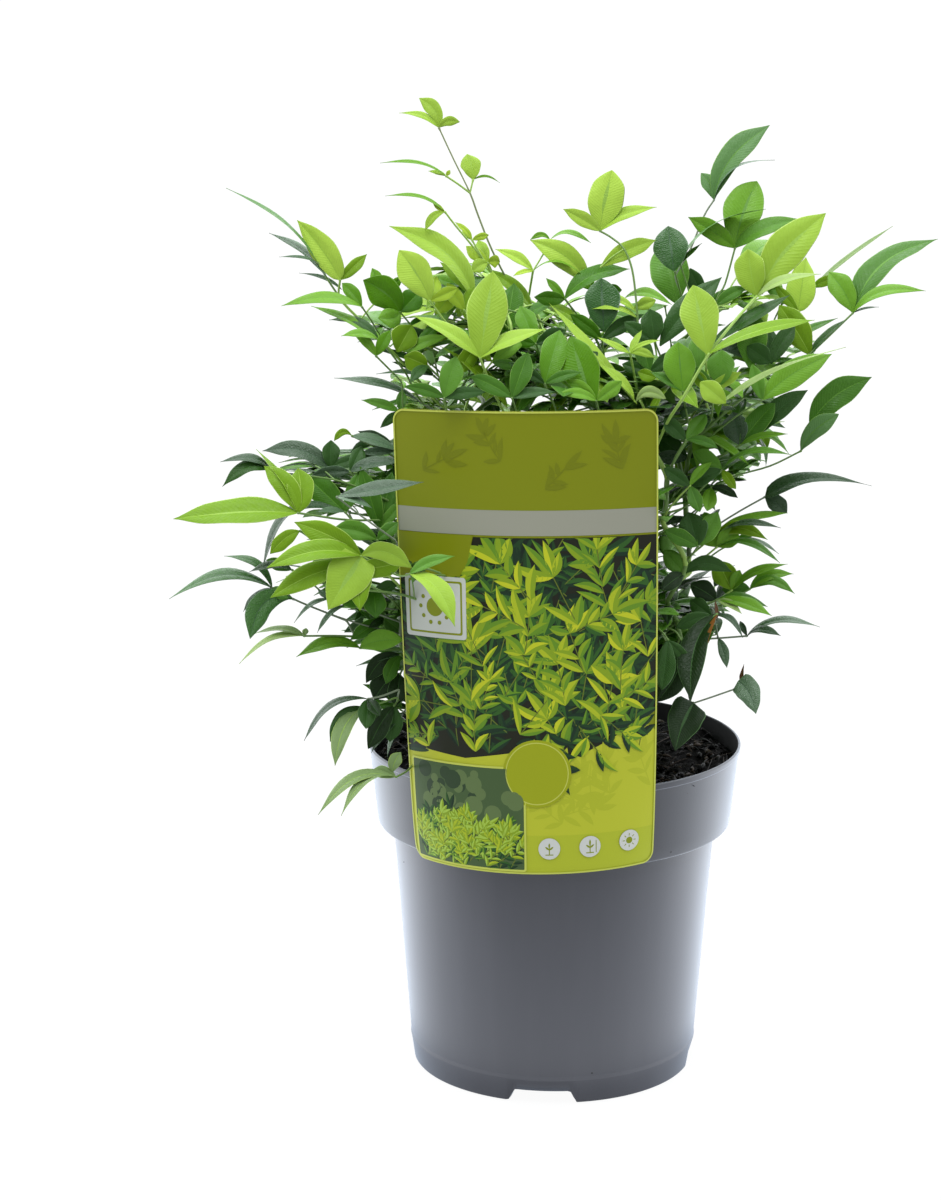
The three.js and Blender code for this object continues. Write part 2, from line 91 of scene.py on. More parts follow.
def px_mm(y):
    """Millimetres that one pixel spans at depth y."""
    return (y - CAM[1]) / cp / FOCAL_PX


# ------------------------------------------------------------------ materials


def srgb(r, g, b):
    def lin(c):
        c = c / 255.0
        return c / 12.92 if c <= 0.04045 else ((c + 0.055) / 1.055) ** 2.4

    return (lin(r), lin(g), lin(b), 1.0)


def material(name, color, rough=0.5, **kw):
    m = bpy.data.materials.new(name)
    m.use_nodes = True
    b = m.node_tree.nodes["Principled BSDF"]
    b.inputs["Base Color"].default_value = color
    b.inputs["Roughness"].default_value = rough
    for k, v in kw.items():
        b.inputs[k.replace("_", " ")].default_value = v
    m.diffuse_color = color
    return m


def add_nodes(m):
    nt = m.node_tree
    return nt, nt.nodes, nt.links, nt.nodes["Principled BSDF"]


def bump(m, height, strength=0.2, distance=0.0004):
    nt, nodes, links, b = add_nodes(m)
    bp = nodes.new("ShaderNodeBump")
    bp.inputs["Strength"].default_value = strength
    bp.inputs["Distance"].default_value = distance
    links.new(height, bp.inputs["Height"])
    links.new(bp.outputs["Normal"], b.inputs["Normal"])
    return bp


def noise(m, scale, detail=3.0, rough=0.5, vector=None):
    nt, nodes, links, b = add_nodes(m)
    n = nodes.new("ShaderNodeTexNoise")
    n.inputs["Scale"].default_value = scale
    n.inputs["Detail"].default_value = detail
    n.inputs["Roughness"].default_value = rough
    if vector is None:
        tc = nodes.new("ShaderNodeTexCoord")
        vector = tc.outputs["Object"]
    links.new(vector, n.inputs["Vector"])
    return n


def ramp(m, fac, stops):
    nt, nodes, links, b = add_nodes(m)
    r = nodes.new("ShaderNodeValToRGB")
    cr = r.color_ramp
    while len(cr.elements) < len(stops):
        cr.elements.new(0.5)
    for e, (pos, col) in zip(cr.elements, stops):
        e.position = pos
        e.color = col
    links.new(fac, r.inputs["Fac"])
    return r


# leaf greens in even light, by tone, with the group that its rim, midrib and underside come from; the rim colours are
# a painted highlight along the leaf edges
TONES = {
    "lemon": ((164, 198, 70), "fresh"),
    "lime": ((142, 176, 54), "fresh"),
    "young": ((154, 184, 48), "fresh"),
    "pale": ((152, 178, 104), "fresh"),
    "soft": ((118, 142, 88), "fresh"),
    "bright": ((109, 147, 18), "fresh"),
    "spring": ((104, 152, 38), "grown"),
    "mid": ((86, 134, 40), "grown"),
    "green": ((66, 112, 28), "grown"),
    "grass": ((82, 132, 10), "grown"),
    "moss": ((62, 112, 6), "grown"),
    "dark": ((46, 82, 28), "old"),
    "deep": ((24, 48, 12), "old"),
    "blue": ((52, 78, 48), "dull"),
    "blue2": ((44, 90, 28), "dull"),
    "jade": ((60, 104, 44), "dull"),
    "grey": ((80, 108, 76), "dull"),
    "grey2": ((88, 128, 70), "grown"),
    "brown": ((84, 50, 24), "old"),
}
# each group's rim colour is lighter than its leaf: a painted highlight standing in for light caught along the edges
GROUPS = {
    "fresh": {"under": (140, 176, 70), "rib": (146, 182, 64), "rim_highlight": (170, 198, 96)},
    "grown": {"under": (98, 142, 58), "rib": (90, 140, 40), "rim_highlight": (118, 160, 66)},
    "old": {"under": (66, 98, 56), "rib": (56, 96, 40), "rim_highlight": (84, 120, 68)},
    "dull": {"under": (84, 112, 82), "rib": (58, 86, 60), "rim_highlight": (104, 132, 100)},
}


def mix(a, b, t):
    return tuple(a[i] * (1 - t) + b[i] * t for i in range(3))


def leaf_material(name, rgb, rough, spec=0.5, net=0.3):
    m = material(name, srgb(*rgb), rough)
    b = m.node_tree.nodes["Principled BSDF"]
    b.inputs["Specular IOR Level"].default_value = spec
    nt, nodes, links, _ = add_nodes(m)
    # fine pinnate veins, laid along each leaflet by its own UV, and a soft unevenness
    uv = nodes.new("ShaderNodeTexCoord")
    sep = nodes.new("ShaderNodeSeparateXYZ")
    links.new(uv.outputs["UV"], sep.inputs[0])
    av = nodes.new("ShaderNodeMath")
    av.operation = "ABSOLUTE"
    links.new(sep.outputs["Y"], av.inputs[0])
    ma = nodes.new("ShaderNodeMath")
    ma.operation = "MULTIPLY_ADD"
    links.new(av.outputs[0], ma.inputs[0])
    ma.inputs[1].default_value = -0.16
    links.new(sep.outputs["X"], ma.inputs[2])
    fr = nodes.new("ShaderNodeMath")
    fr.operation = "MULTIPLY"
    links.new(ma.outputs[0], fr.inputs[0])
    fr.inputs[1].default_value = 70.0
    si = nodes.new("ShaderNodeMath")
    si.operation = "SINE"
    links.new(fr.outputs[0], si.inputs[0])
    pw = nodes.new("ShaderNodeMath")
    pw.operation = "POWER"
    ab = nodes.new("ShaderNodeMath")
    ab.operation = "ABSOLUTE"
    links.new(si.outputs[0], ab.inputs[0])
    links.new(ab.outputs[0], pw.inputs[0])
    pw.inputs[1].default_value = 6.0
    n = noise(m, 260.0, 2.0)
    add = nodes.new("ShaderNodeMath")
    add.operation = "MULTIPLY_ADD"
    links.new(pw.outputs[0], add.inputs[0])
    add.inputs[1].default_value = 0.22
    links.new(n.outputs["Fac"], add.inputs[2])
    # the small net between the veins
    fine = noise(m, 1150.0, 2.0)
    both = nodes.new("ShaderNodeMath")
    both.operation = "MULTIPLY_ADD"
    links.new(fine.outputs["Fac"], both.inputs[0])
    both.inputs[1].default_value = net
    links.new(add.outputs[0], both.inputs[2])
    bump(m, both.outputs[0], 0.5, 0.0005)
    mr = nodes.new("ShaderNodeMapRange")
    mr.inputs["From Min"].default_value = 0.34
    mr.inputs["From Max"].default_value = 0.66
    mr.inputs["To Min"].default_value = rough - 0.12
    mr.inputs["To Max"].default_value = rough + 0.14
    n2 = noise(m, 420.0, 3.0, 0.65)
    links.new(n2.outputs["Fac"], mr.inputs["Value"])
    links.new(mr.outputs["Result"], b.inputs["Roughness"])
    return m


LEAF_SLOTS = []
SLOT_OF = {}
for group, parts in GROUPS.items():
    for part, rgb in parts.items():
        SLOT_OF[group, part] = len(LEAF_SLOTS)
        LEAF_SLOTS.append(leaf_material("leaf_%s_%s" % (group, part), rgb, 0.6 if part == "under" else 0.45, 0.25))
for tone, (rgb, group) in TONES.items():
    SLOT_OF[tone, "top"] = len(LEAF_SLOTS)
    LEAF_SLOTS.append(leaf_material("leaf_" + tone, rgb, {"fresh": 0.48, "dull": 0.33}.get(group, 0.38), {"fresh": 0.20, "grown": 0.20, "old": 0.22, "dull": 0.46}[group],
                                    {"fresh": 0.28, "grown": 0.45, "old": 0.7, "dull": 1.5}[group]))
    for part in ("under", "rib", "rim_highlight"):
        SLOT_OF[tone, part] = SLOT_OF[group, part]
SCORCH = len(LEAF_SLOTS)
LEAF_SLOTS.append(leaf_material("leaf_scorched", (116, 72, 14), 0.6, 0.2))
BUD = len(LEAF_SLOTS)
LEAF_SLOTS.append(leaf_material("leaf_withered", (92, 66, 40), 0.7))

# ------------------------------------------------------------------ mesh helpers


class Mesh:
    """Gathers vertices and faces, to be made into one object."""

    def __init__(self):
        self.v, self.f, self.m, self.uv, self.n = [], [], [], [], 0

    def add(self, verts, faces, mats, uvs=None):
        verts = np.asarray(verts, float)
        faces = np.asarray(faces, int)
        self.v.append(verts)
        self.f.append(faces + self.n)
        self.m.append(np.broadcast_to(np.asarray(mats, int), (len(faces),)).copy())
        self.uv.append(np.zeros((len(verts), 2)) if uvs is None else np.asarray(uvs, float))
        self.n += len(verts)

    def make(self, name, mats, smooth=True, scale=MM):
        v = np.concatenate(self.v) * scale
        uv = np.concatenate(self.uv)
        quads = [f for f in self.f if f.shape[1] == 4]
        tris = [f for f in self.f if f.shape[1] == 3]
        mq = [m for f, m in zip(self.f, self.m) if f.shape[1] == 4]
        mt = [m for f, m in zip(self.f, self.m) if f.shape[1] == 3]
        me = bpy.data.meshes.new(name)
        nq = sum(len(f) for f in quads)
        ntri = sum(len(f) for f in tris)
        loops = np.concatenate([f.ravel() for f in quads] + [f.ravel() for f in tris])
        starts = np.concatenate([np.arange(nq) * 4, nq * 4 + np.arange(ntri) * 3])
        me.vertices.add(len(v))
        me.vertices.foreach_set("co", v.ravel())
        me.loops.add(len(loops))
        me.loops.foreach_set("vertex_index", loops.astype(np.int32))
        me.polygons.add(nq + ntri)
        me.polygons.foreach_set("loop_start", starts.astype(np.int32))
        me.polygons.foreach_set("material_index", np.concatenate(mq + mt).astype(np.int32))
        me.polygons.foreach_set("use_smooth", np.full(nq + ntri, smooth))
        layer = me.uv_layers.new(name="UVMap")
        layer.data.foreach_set("uv", uv[loops].ravel())
        for m in mats:
            me.materials.append(m)
        me.update(calc_edges=True)
        me.validate()
        o = bpy.data.objects.new(name, me)
        bpy.context.collection.objects.link(o)
        return o


def unit(a):
    return a / (np.linalg.norm(a) + 1e-12)


def catmull(points, per=6):
    """A smooth line through the points."""
    p = np.asarray(points, float)
    if len(p) < 3:
        t = np.linspace(0, 1, per + 1)[:, None]
        return p[0] * (1 - t) + p[-1] * t
    e = np.vstack([2 * p[0] - p[1], p, 2 * p[-1] - p[-2]])
    out = []
    for i in range(1, len(e) - 2):
        for t in np.linspace(0, 1, per, endpoint=False):
            a, b, c, d = e[i - 1], e[i], e[i + 1], e[i + 2]
            out.append(0.5 * (2 * b + (c - a) * t + (2 * a - 5 * b + 4 * c - d) * t**2 + (3 * b - 3 * c + d - a) * t**3))
    out.append(p[-1])
    return np.array(out)


def frames(line):
    """Tangents and a steady pair of normals along a line."""
    tan = np.gradient(line, axis=0)
    tan /= np.linalg.norm(tan, axis=1)[:, None] + 1e-12
    ref = np.array([0.0, 0.0, 1.0]) if abs(tan[0][2]) < 0.9 else np.array([1.0, 0.0, 0.0])
    n = unit(ref - tan[0] * ref.dot(tan[0]))
    ns = []
    for t in tan:
        n = unit(n - t * n.dot(t))
        ns.append(n)
    ns = np.array(ns)
    return tan, ns, np.cross(tan, ns)


def tube(mesh, line, radii, mat=0, sides=6, relief=None, caps=True):
    line = np.asarray(line, float)
    radii = np.broadcast_to(np.asarray(radii, float), (len(line),))
    tan, n, b = frames(line)
    a = np.linspace(0, 2 * math.pi, sides, endpoint=False)
    rr = radii[:, None] * np.ones((1, sides))
    if relief is not None:
        rr = rr + relief(len(line), sides)
    ring = line[:, None, :] + rr[:, :, None] * (np.cos(a)[None, :, None] * n[:, None, :] + np.sin(a)[None, :, None] * b[:, None, :])
    v = ring.reshape(-1, 3)
    i = np.arange(len(line) - 1)[:, None] * sides
    j = np.arange(sides)[None, :]
    k = (j + 1) % sides
    q = np.stack([i + j, i + k, i + sides + k, i + sides + j], -1).reshape(-1, 4)
    length = np.concatenate([[0], np.cumsum(np.linalg.norm(np.diff(line, axis=0), axis=1))])
    uv = np.stack([np.repeat(length, sides) * 0.1, np.tile(np.arange(sides) / sides, len(line))], -1)
    mesh.add(v, q, mat, uv)
    if caps:
        ends = np.vstack([line[0] - tan[0] * radii[0] * 0.3, line[-1] + tan[-1] * radii[-1] * 0.5])
        m0 = len(v)
        vv = np.vstack([v[:sides], ends[:1]])
        f0 = np.stack([np.full(sides, sides), (np.arange(sides) + 1) % sides, np.arange(sides)], -1)
        mesh.add(vv, f0, mat)
        vv = np.vstack([v[-sides:], ends[1:]])
        f1 = np.stack([np.full(sides, sides), np.arange(sides), (np.arange(sides) + 1) % sides], -1)
        mesh.add(vv, f1, mat)


# ------------------------------------------------------------------ leaflets

FINE = (np.array([-1.0, -0.95, -0.66, -0.34, -0.03, 0.03, 0.34, 0.66, 0.95, 1.0]), 18)
PLAIN = (np.array([-1.0, -0.94, -0.5, -0.035, 0.035, 0.5, 0.94, 1.0]), 11)
UNDER = np.array([-1.0, -0.5, 0.0, 0.5, 1.0])
leaf_count = 0


def outline(t, e, p, acute=0.42):
    """Half width along the leaflet: 0 at the base and at the drawn-out tip, 1 at the widest place."""
    w = np.power(np.clip(t, 0, 1), e) * np.power(np.clip(1 - t, 0, 1), p)
    peak = e / (e + p)
    return w / (peak**e * (1 - peak) ** p) * (1 - acute * np.clip((t - 0.72) / 0.28, 0, 1) ** 1.8)


def leaflet(mesh, base, tip, normal, width, tone, bow=None, recurve=0.08, fold=0.28, e=0.62, p=0.95, wave=0.03, flat=1.0, detail=PLAIN, mark=None, seed=0, acute=0.42):
    """One leaflet as a thin closed blade, folded a little along its midrib and bent back to its tip."""
    global leaf_count
    leaf_count += 1
    cols, rows = detail
    r = np.random.default_rng(seed * 7919 + leaf_count)
    base, tip = np.asarray(base, float), np.asarray(tip, float)
    a = tip - base
    length = np.linalg.norm(a)
    u = a / length
    n = unit(normal - u * np.dot(normal, u))
    t = np.linspace(0, 1, rows)
    t = t - 0.035 * np.sin(2 * math.pi * t)  # closer rows towards both ends
    arc = np.sin(math.pi * np.power(t, 0.9))
    mid = base + np.outer(t, a) + np.outer(arc * recurve * length, n)
    if bow is not None:
        mid = mid + np.outer(np.sin(math.pi * np.power(t, 0.85)), bow)
    tan = np.gradient(mid, axis=0)
    tan /= np.linalg.norm(tan, axis=1)[:, None]
    nn = n - tan * (tan @ n)[:, None]
    nn /= np.linalg.norm(nn, axis=1)[:, None]
    tw = (r.random() - 0.5) * 0.6 * t  # a slight twist towards the tip
    ss = np.cross(tan, nn)
    ss, nn = ss * np.cos(tw)[:, None] + nn * np.sin(tw)[:, None], nn * np.cos(tw)[:, None] - ss * np.sin(tw)[:, None]
    half = outline(t, e, p, acute) * width / 2
    half[0] = min(0.4, width * 0.035)
    half[-1] = 0.05
    f = fold * (1 - 0.45 * t)
    ph, ph2 = r.random(2) * 6.28
    ripple = wave * width * np.sin((7 + 4 * r.random()) * t + ph)
    swell = (0.02 + 0.06 * r.random()) * flat
    lean = (r.random() - 0.5) * 0.16  # one half is a little wider than the other
    f = f * flat
    ripple = ripple * flat
    edge = 1 + 0.035 * np.sin((11 + 5 * r.random()) * t + ph2)

    def surface(cols, lift):
        c = cols[None, :]
        up = np.abs(c) * np.sin(f)[:, None] + swell * np.sin(math.pi * np.abs(c)) - 0.06 * c**2
        off = (half * edge)[:, None] * c * (1 + lean * np.sign(c))
        h = half[:, None] * up + ripple[:, None] * np.abs(c) ** 2 * np.sign(c) * (half[:, None] / (width / 2 + 1e-6))
        h = h + lift * (1 - c**2)
        return mid[:, None, :] + off[:, :, None] * np.cos(f)[:, None, None] * ss[:, None, :] + h[:, :, None] * nn[:, None, :]

    nc, nu = len(cols), len(UNDER)
    k = nc // 2
    top = surface(cols, 0.10)
    # a shallow groove along the midrib
    top[:, k - 1:k + 1] -= nn[:, None, :] * (0.03 * half[:, None, None] + 0.06)
    low = surface(UNDER, -0.16)
    v = np.vstack([top.reshape(-1, 3), low[:, 1:-1].reshape(-1, 3)])
    nin = nu - 2
    off = rows * nc
    ti, tj = np.meshgrid(np.arange(rows - 1), np.arange(nc - 1), indexing="ij")
    q = np.stack([ti * nc + tj, (ti + 1) * nc + tj, (ti + 1) * nc + tj + 1, ti * nc + tj + 1], -1)[..., ::-1].reshape(-1, 4)
    colmat = np.full(nc - 1, SLOT_OF[tone, "top"])
    # the outermost column on each side takes the rim colour, a painted highlight along the leaflet's edge
    colmat[0] = colmat[-1] = SLOT_OF[tone, "rim_highlight"]
    colmat[k - 1] = SLOT_OF[tone, "rib"]
    mats = np.tile(colmat, rows - 1)
    if mark is not None:
        # a scorched flank of one leaflet: rows and side given by the mark
        lo, hi, sd, slot = mark
        rows_ = np.repeat(np.arange(rows - 1), nc - 1) / (rows - 1)
        cols_ = np.tile(np.arange(nc - 1), rows - 1)
        deep_ = np.where(rows_ < lo + 0.45 * (hi - lo), 2, np.where(rows_ < lo + 0.8 * (hi - lo), 1, 0))
        pick = (rows_ >= lo) & (rows_ <= hi) & ((cols_ >= nc - 2 - deep_) if sd > 0 else (cols_ <= deep_))
        mats = np.where(pick, slot, mats)
    uv_top = np.stack([np.repeat(t, nc), np.tile(cols, rows)], -1)
    uv_low = np.stack([np.repeat(t, nin), np.tile(UNDER[1:-1], rows)], -1)
    # underside columns share the rim vertices
    li = np.empty((rows, nu), int)
    li[:, 0] = np.arange(rows) * nc
    li[:, -1] = np.arange(rows) * nc + nc - 1
    for c in range(nin):
        li[:, c + 1] = off + np.arange(rows) * nin + c
    ql = np.stack([li[:-1, :-1], li[1:, :-1], li[1:, 1:], li[:-1, 1:]], -1).reshape(-1, 4)
    faces = np.vstack([q, ql])
    mats = np.concatenate([mats, np.full(len(ql), SLOT_OF[tone, "under"])])
    mesh.add(v, faces, mats, np.vstack([uv_top, uv_low]))
    # closed ends: the base and the tip
    for row, flip in ((0, False), (rows - 1, True)):
        tr = [row * nc + c for c in range(nc)]
        lr = [li[row, c] for c in range(nu)]
        poly = tr + lr[-2:0:-1]
        vv = v[poly]
        tri = [[0, c, c + 1] for c in range(1, len(poly) - 1)]
        if not flip:
            tri = [x[::-1] for x in tri]
        mesh.add(vv, tri, SLOT_OF[tone, "under"])
    return mid, ss, half


# ------------------------------------------------------------------ the canes of the frame


def centreline(node, power=3):
    """The axis of an upright CAD limb, as x and y by height."""
    co = np.array([tuple(NODES[node].matrix_world @ v.co) for v in NODES[node].data.vertices]) / MM
    z = co[:, 2]
    px = np.polyfit(z, co[:, 0], power)
    py = np.polyfit(z, co[:, 1], power)
    return px, py, z.min(), z.max()


CANE_NAMES = sorted(n for n in NODES if n.startswith("cane_"))
CANES = []
for name in CANE_NAMES:
    px_, py_, z0, z1 = centreline(name)
    CANES.append((name, px_, py_, z0, z1))


def cane_at(c, z):
    return np.array([np.polyval(c[1], z), np.polyval(c[2], z), z])


class Limb:
    """A laid stalk: its points, the limb and place that it grows on from, and what it carries."""

    def __init__(self, line, parent, at, tone):
        self.line, self.parent, self.at, self.tone = line, parent, at, tone
        self.load = np.zeros(len(line))

    def carry(self, i, n):
        self.load[: i + 1] += n
        if self.parent is not None:
            self.parent.carry(self.at, n)


LIMBS = []
CANE_POINTS = []
for c in CANES:
    for z in np.linspace(188, c[4] - 1, 18):
        t = unit(cane_at(c, z + 3) - cane_at(c, z - 3))
        CANE_POINTS.append((cane_at(c, z), t))
CANE_P = np.array([p for p, t in CANE_POINTS])
CANE_T = np.array([t for p, t in CANE_POINTS])


def hermite(p0, t0, p1, t1, n):
    t = np.linspace(0, 1, n)[:, None]
    return (2 * t**3 - 3 * t**2 + 1) * p0 + (t**3 - 2 * t**2 + t) * t0 + (-2 * t**3 + 3 * t**2) * p1 + (t**3 - t**2) * t1


def join(start, heading, own_at=None):
    """Where a stalk that begins at start and heads that way grows on from: a limb already laid, or a cane."""
    best = (1e9, None, 0, None, None)

    def weigh(P, T, extra):
        d = start - P
        ln = np.linalg.norm(d, axis=1) + 1e-6
        along = (d * T).sum(1) / ln
        turn_ = (d @ heading) / ln
        cost = ln * (1 + 1.1 * (1 - along) + 0.9 * (1 - turn_)) + extra
        cost = cost + np.where(P[:, 2] > start[2] + 6, 60, 0) + np.where(ln < 5, 30, 0)
        # a stalk that starts far out leaves its cane low enough to arch
        h = np.hypot(d[:, 0], d[:, 1])
        return cost + 0.8 * np.maximum(0, 0.35 * h - d[:, 2])

    k = weigh(CANE_P, CANE_T, 14.0)
    i = int(np.argmin(k))
    best = (k[i], None, 0, CANE_P[i], CANE_T[i])
    for limb in LIMBS:
        n = len(limb.line)
        pick = np.arange(1, max(2, n - 1))
        P = limb.line[pick]
        T = np.gradient(limb.line, axis=0)[pick]
        T = T / (np.linalg.norm(T, axis=1)[:, None] + 1e-9)
        k = weigh(P, T, 6.0)
        i = int(np.argmin(k))
        if k[i] < best[0]:
            best = (k[i], limb, int(pick[i]), P[i], T[i])
    return best


def lay(points, tone, own=None):
    """Lays a stalk through the points, grown on from what carries it."""
    line = catmull(points, 4)
    if own is not None:
        limb = Limb(line, own[0], own[1], tone)
    else:
        heading = unit(line[min(3, len(line) - 1)] - line[0])
        cost, parent, at, q, t = join(line[0], heading)
        d = np.linalg.norm(line[0] - q)
        lead = hermite(q, (t * 0.7 + unit(line[0] - q) * 0.5) * d * 0.9, line[0], heading * d * 0.8, 9)
        limb = Limb(np.vstack([lead[:-1], line]), parent, at, tone)
    LIMBS.append(limb)
    return limb


def draw_limbs(mesh):
    for limb in LIMBS:
        r = 0.28 + 0.125 * np.sqrt(np.maximum(limb.load, 1.0))
        r = np.minimum(r, 1.35) * (0.78 if limb.tone == "sage" else 1.0)
        tube(mesh, limb.line, r, STALK_MATS[limb.tone], 6)


stalks = Mesh()
STALK_MATS = {"lime": 0, "green": 1, "grey": 2, "blue": 2, "brown": 3, "sage": 4}


# ------------------------------------------------------------------ the label's bend

CARD_W, CARD_H, CARD_Z, CARD_LOW_R, CARD_TOP_R = 130.3, 222.0, 128.4, 77.9, 197.0
CARD_FRONT, CARD_LEAN, CARD_SHIFT = 98.9, 19.5, 1.7
CARD_TURN, CARD_ROLL = math.radians(-6.63), math.radians(1.57)


def stand(x, y, z):
    """From the flat label (x across, y minus in front, z up) to where it stands."""
    ca, sa = math.cos(CARD_ROLL), math.sin(CARD_ROLL)
    s = x * ca - z * sa - CARD_SHIFT
    h = x * sa + z * ca
    up = np.clip(h / CARD_H, 0, 1)
    k = 1 / CARD_LOW_R + (1 / CARD_TOP_R - 1 / CARD_LOW_R) * up**0.7
    front = -CARD_FRONT + CARD_LEAN * up**1.08
    r = 1 / k - y
    xx = r * np.sin(k * s)
    yy = front + 1 / k - r * np.cos(k * s)
    ct, st = math.cos(CARD_TURN), math.sin(CARD_TURN)
    return np.stack([xx * ct - yy * st, xx * st + yy * ct, CARD_Z + h], -1)


# ------------------------------------------------------------------ sprays that show most
#
# Each spray is a leaf stalk's outer stretch, from the crown's inside outwards, as places in the view
# with a depth, and the leaflets that it carries. A leaflet is its tip in the view, how much nearer or
# further than the node the tip lies, the width that shows, its tone, how far it bows up in the view,
# and, where it doesn't start at the node, its own base.

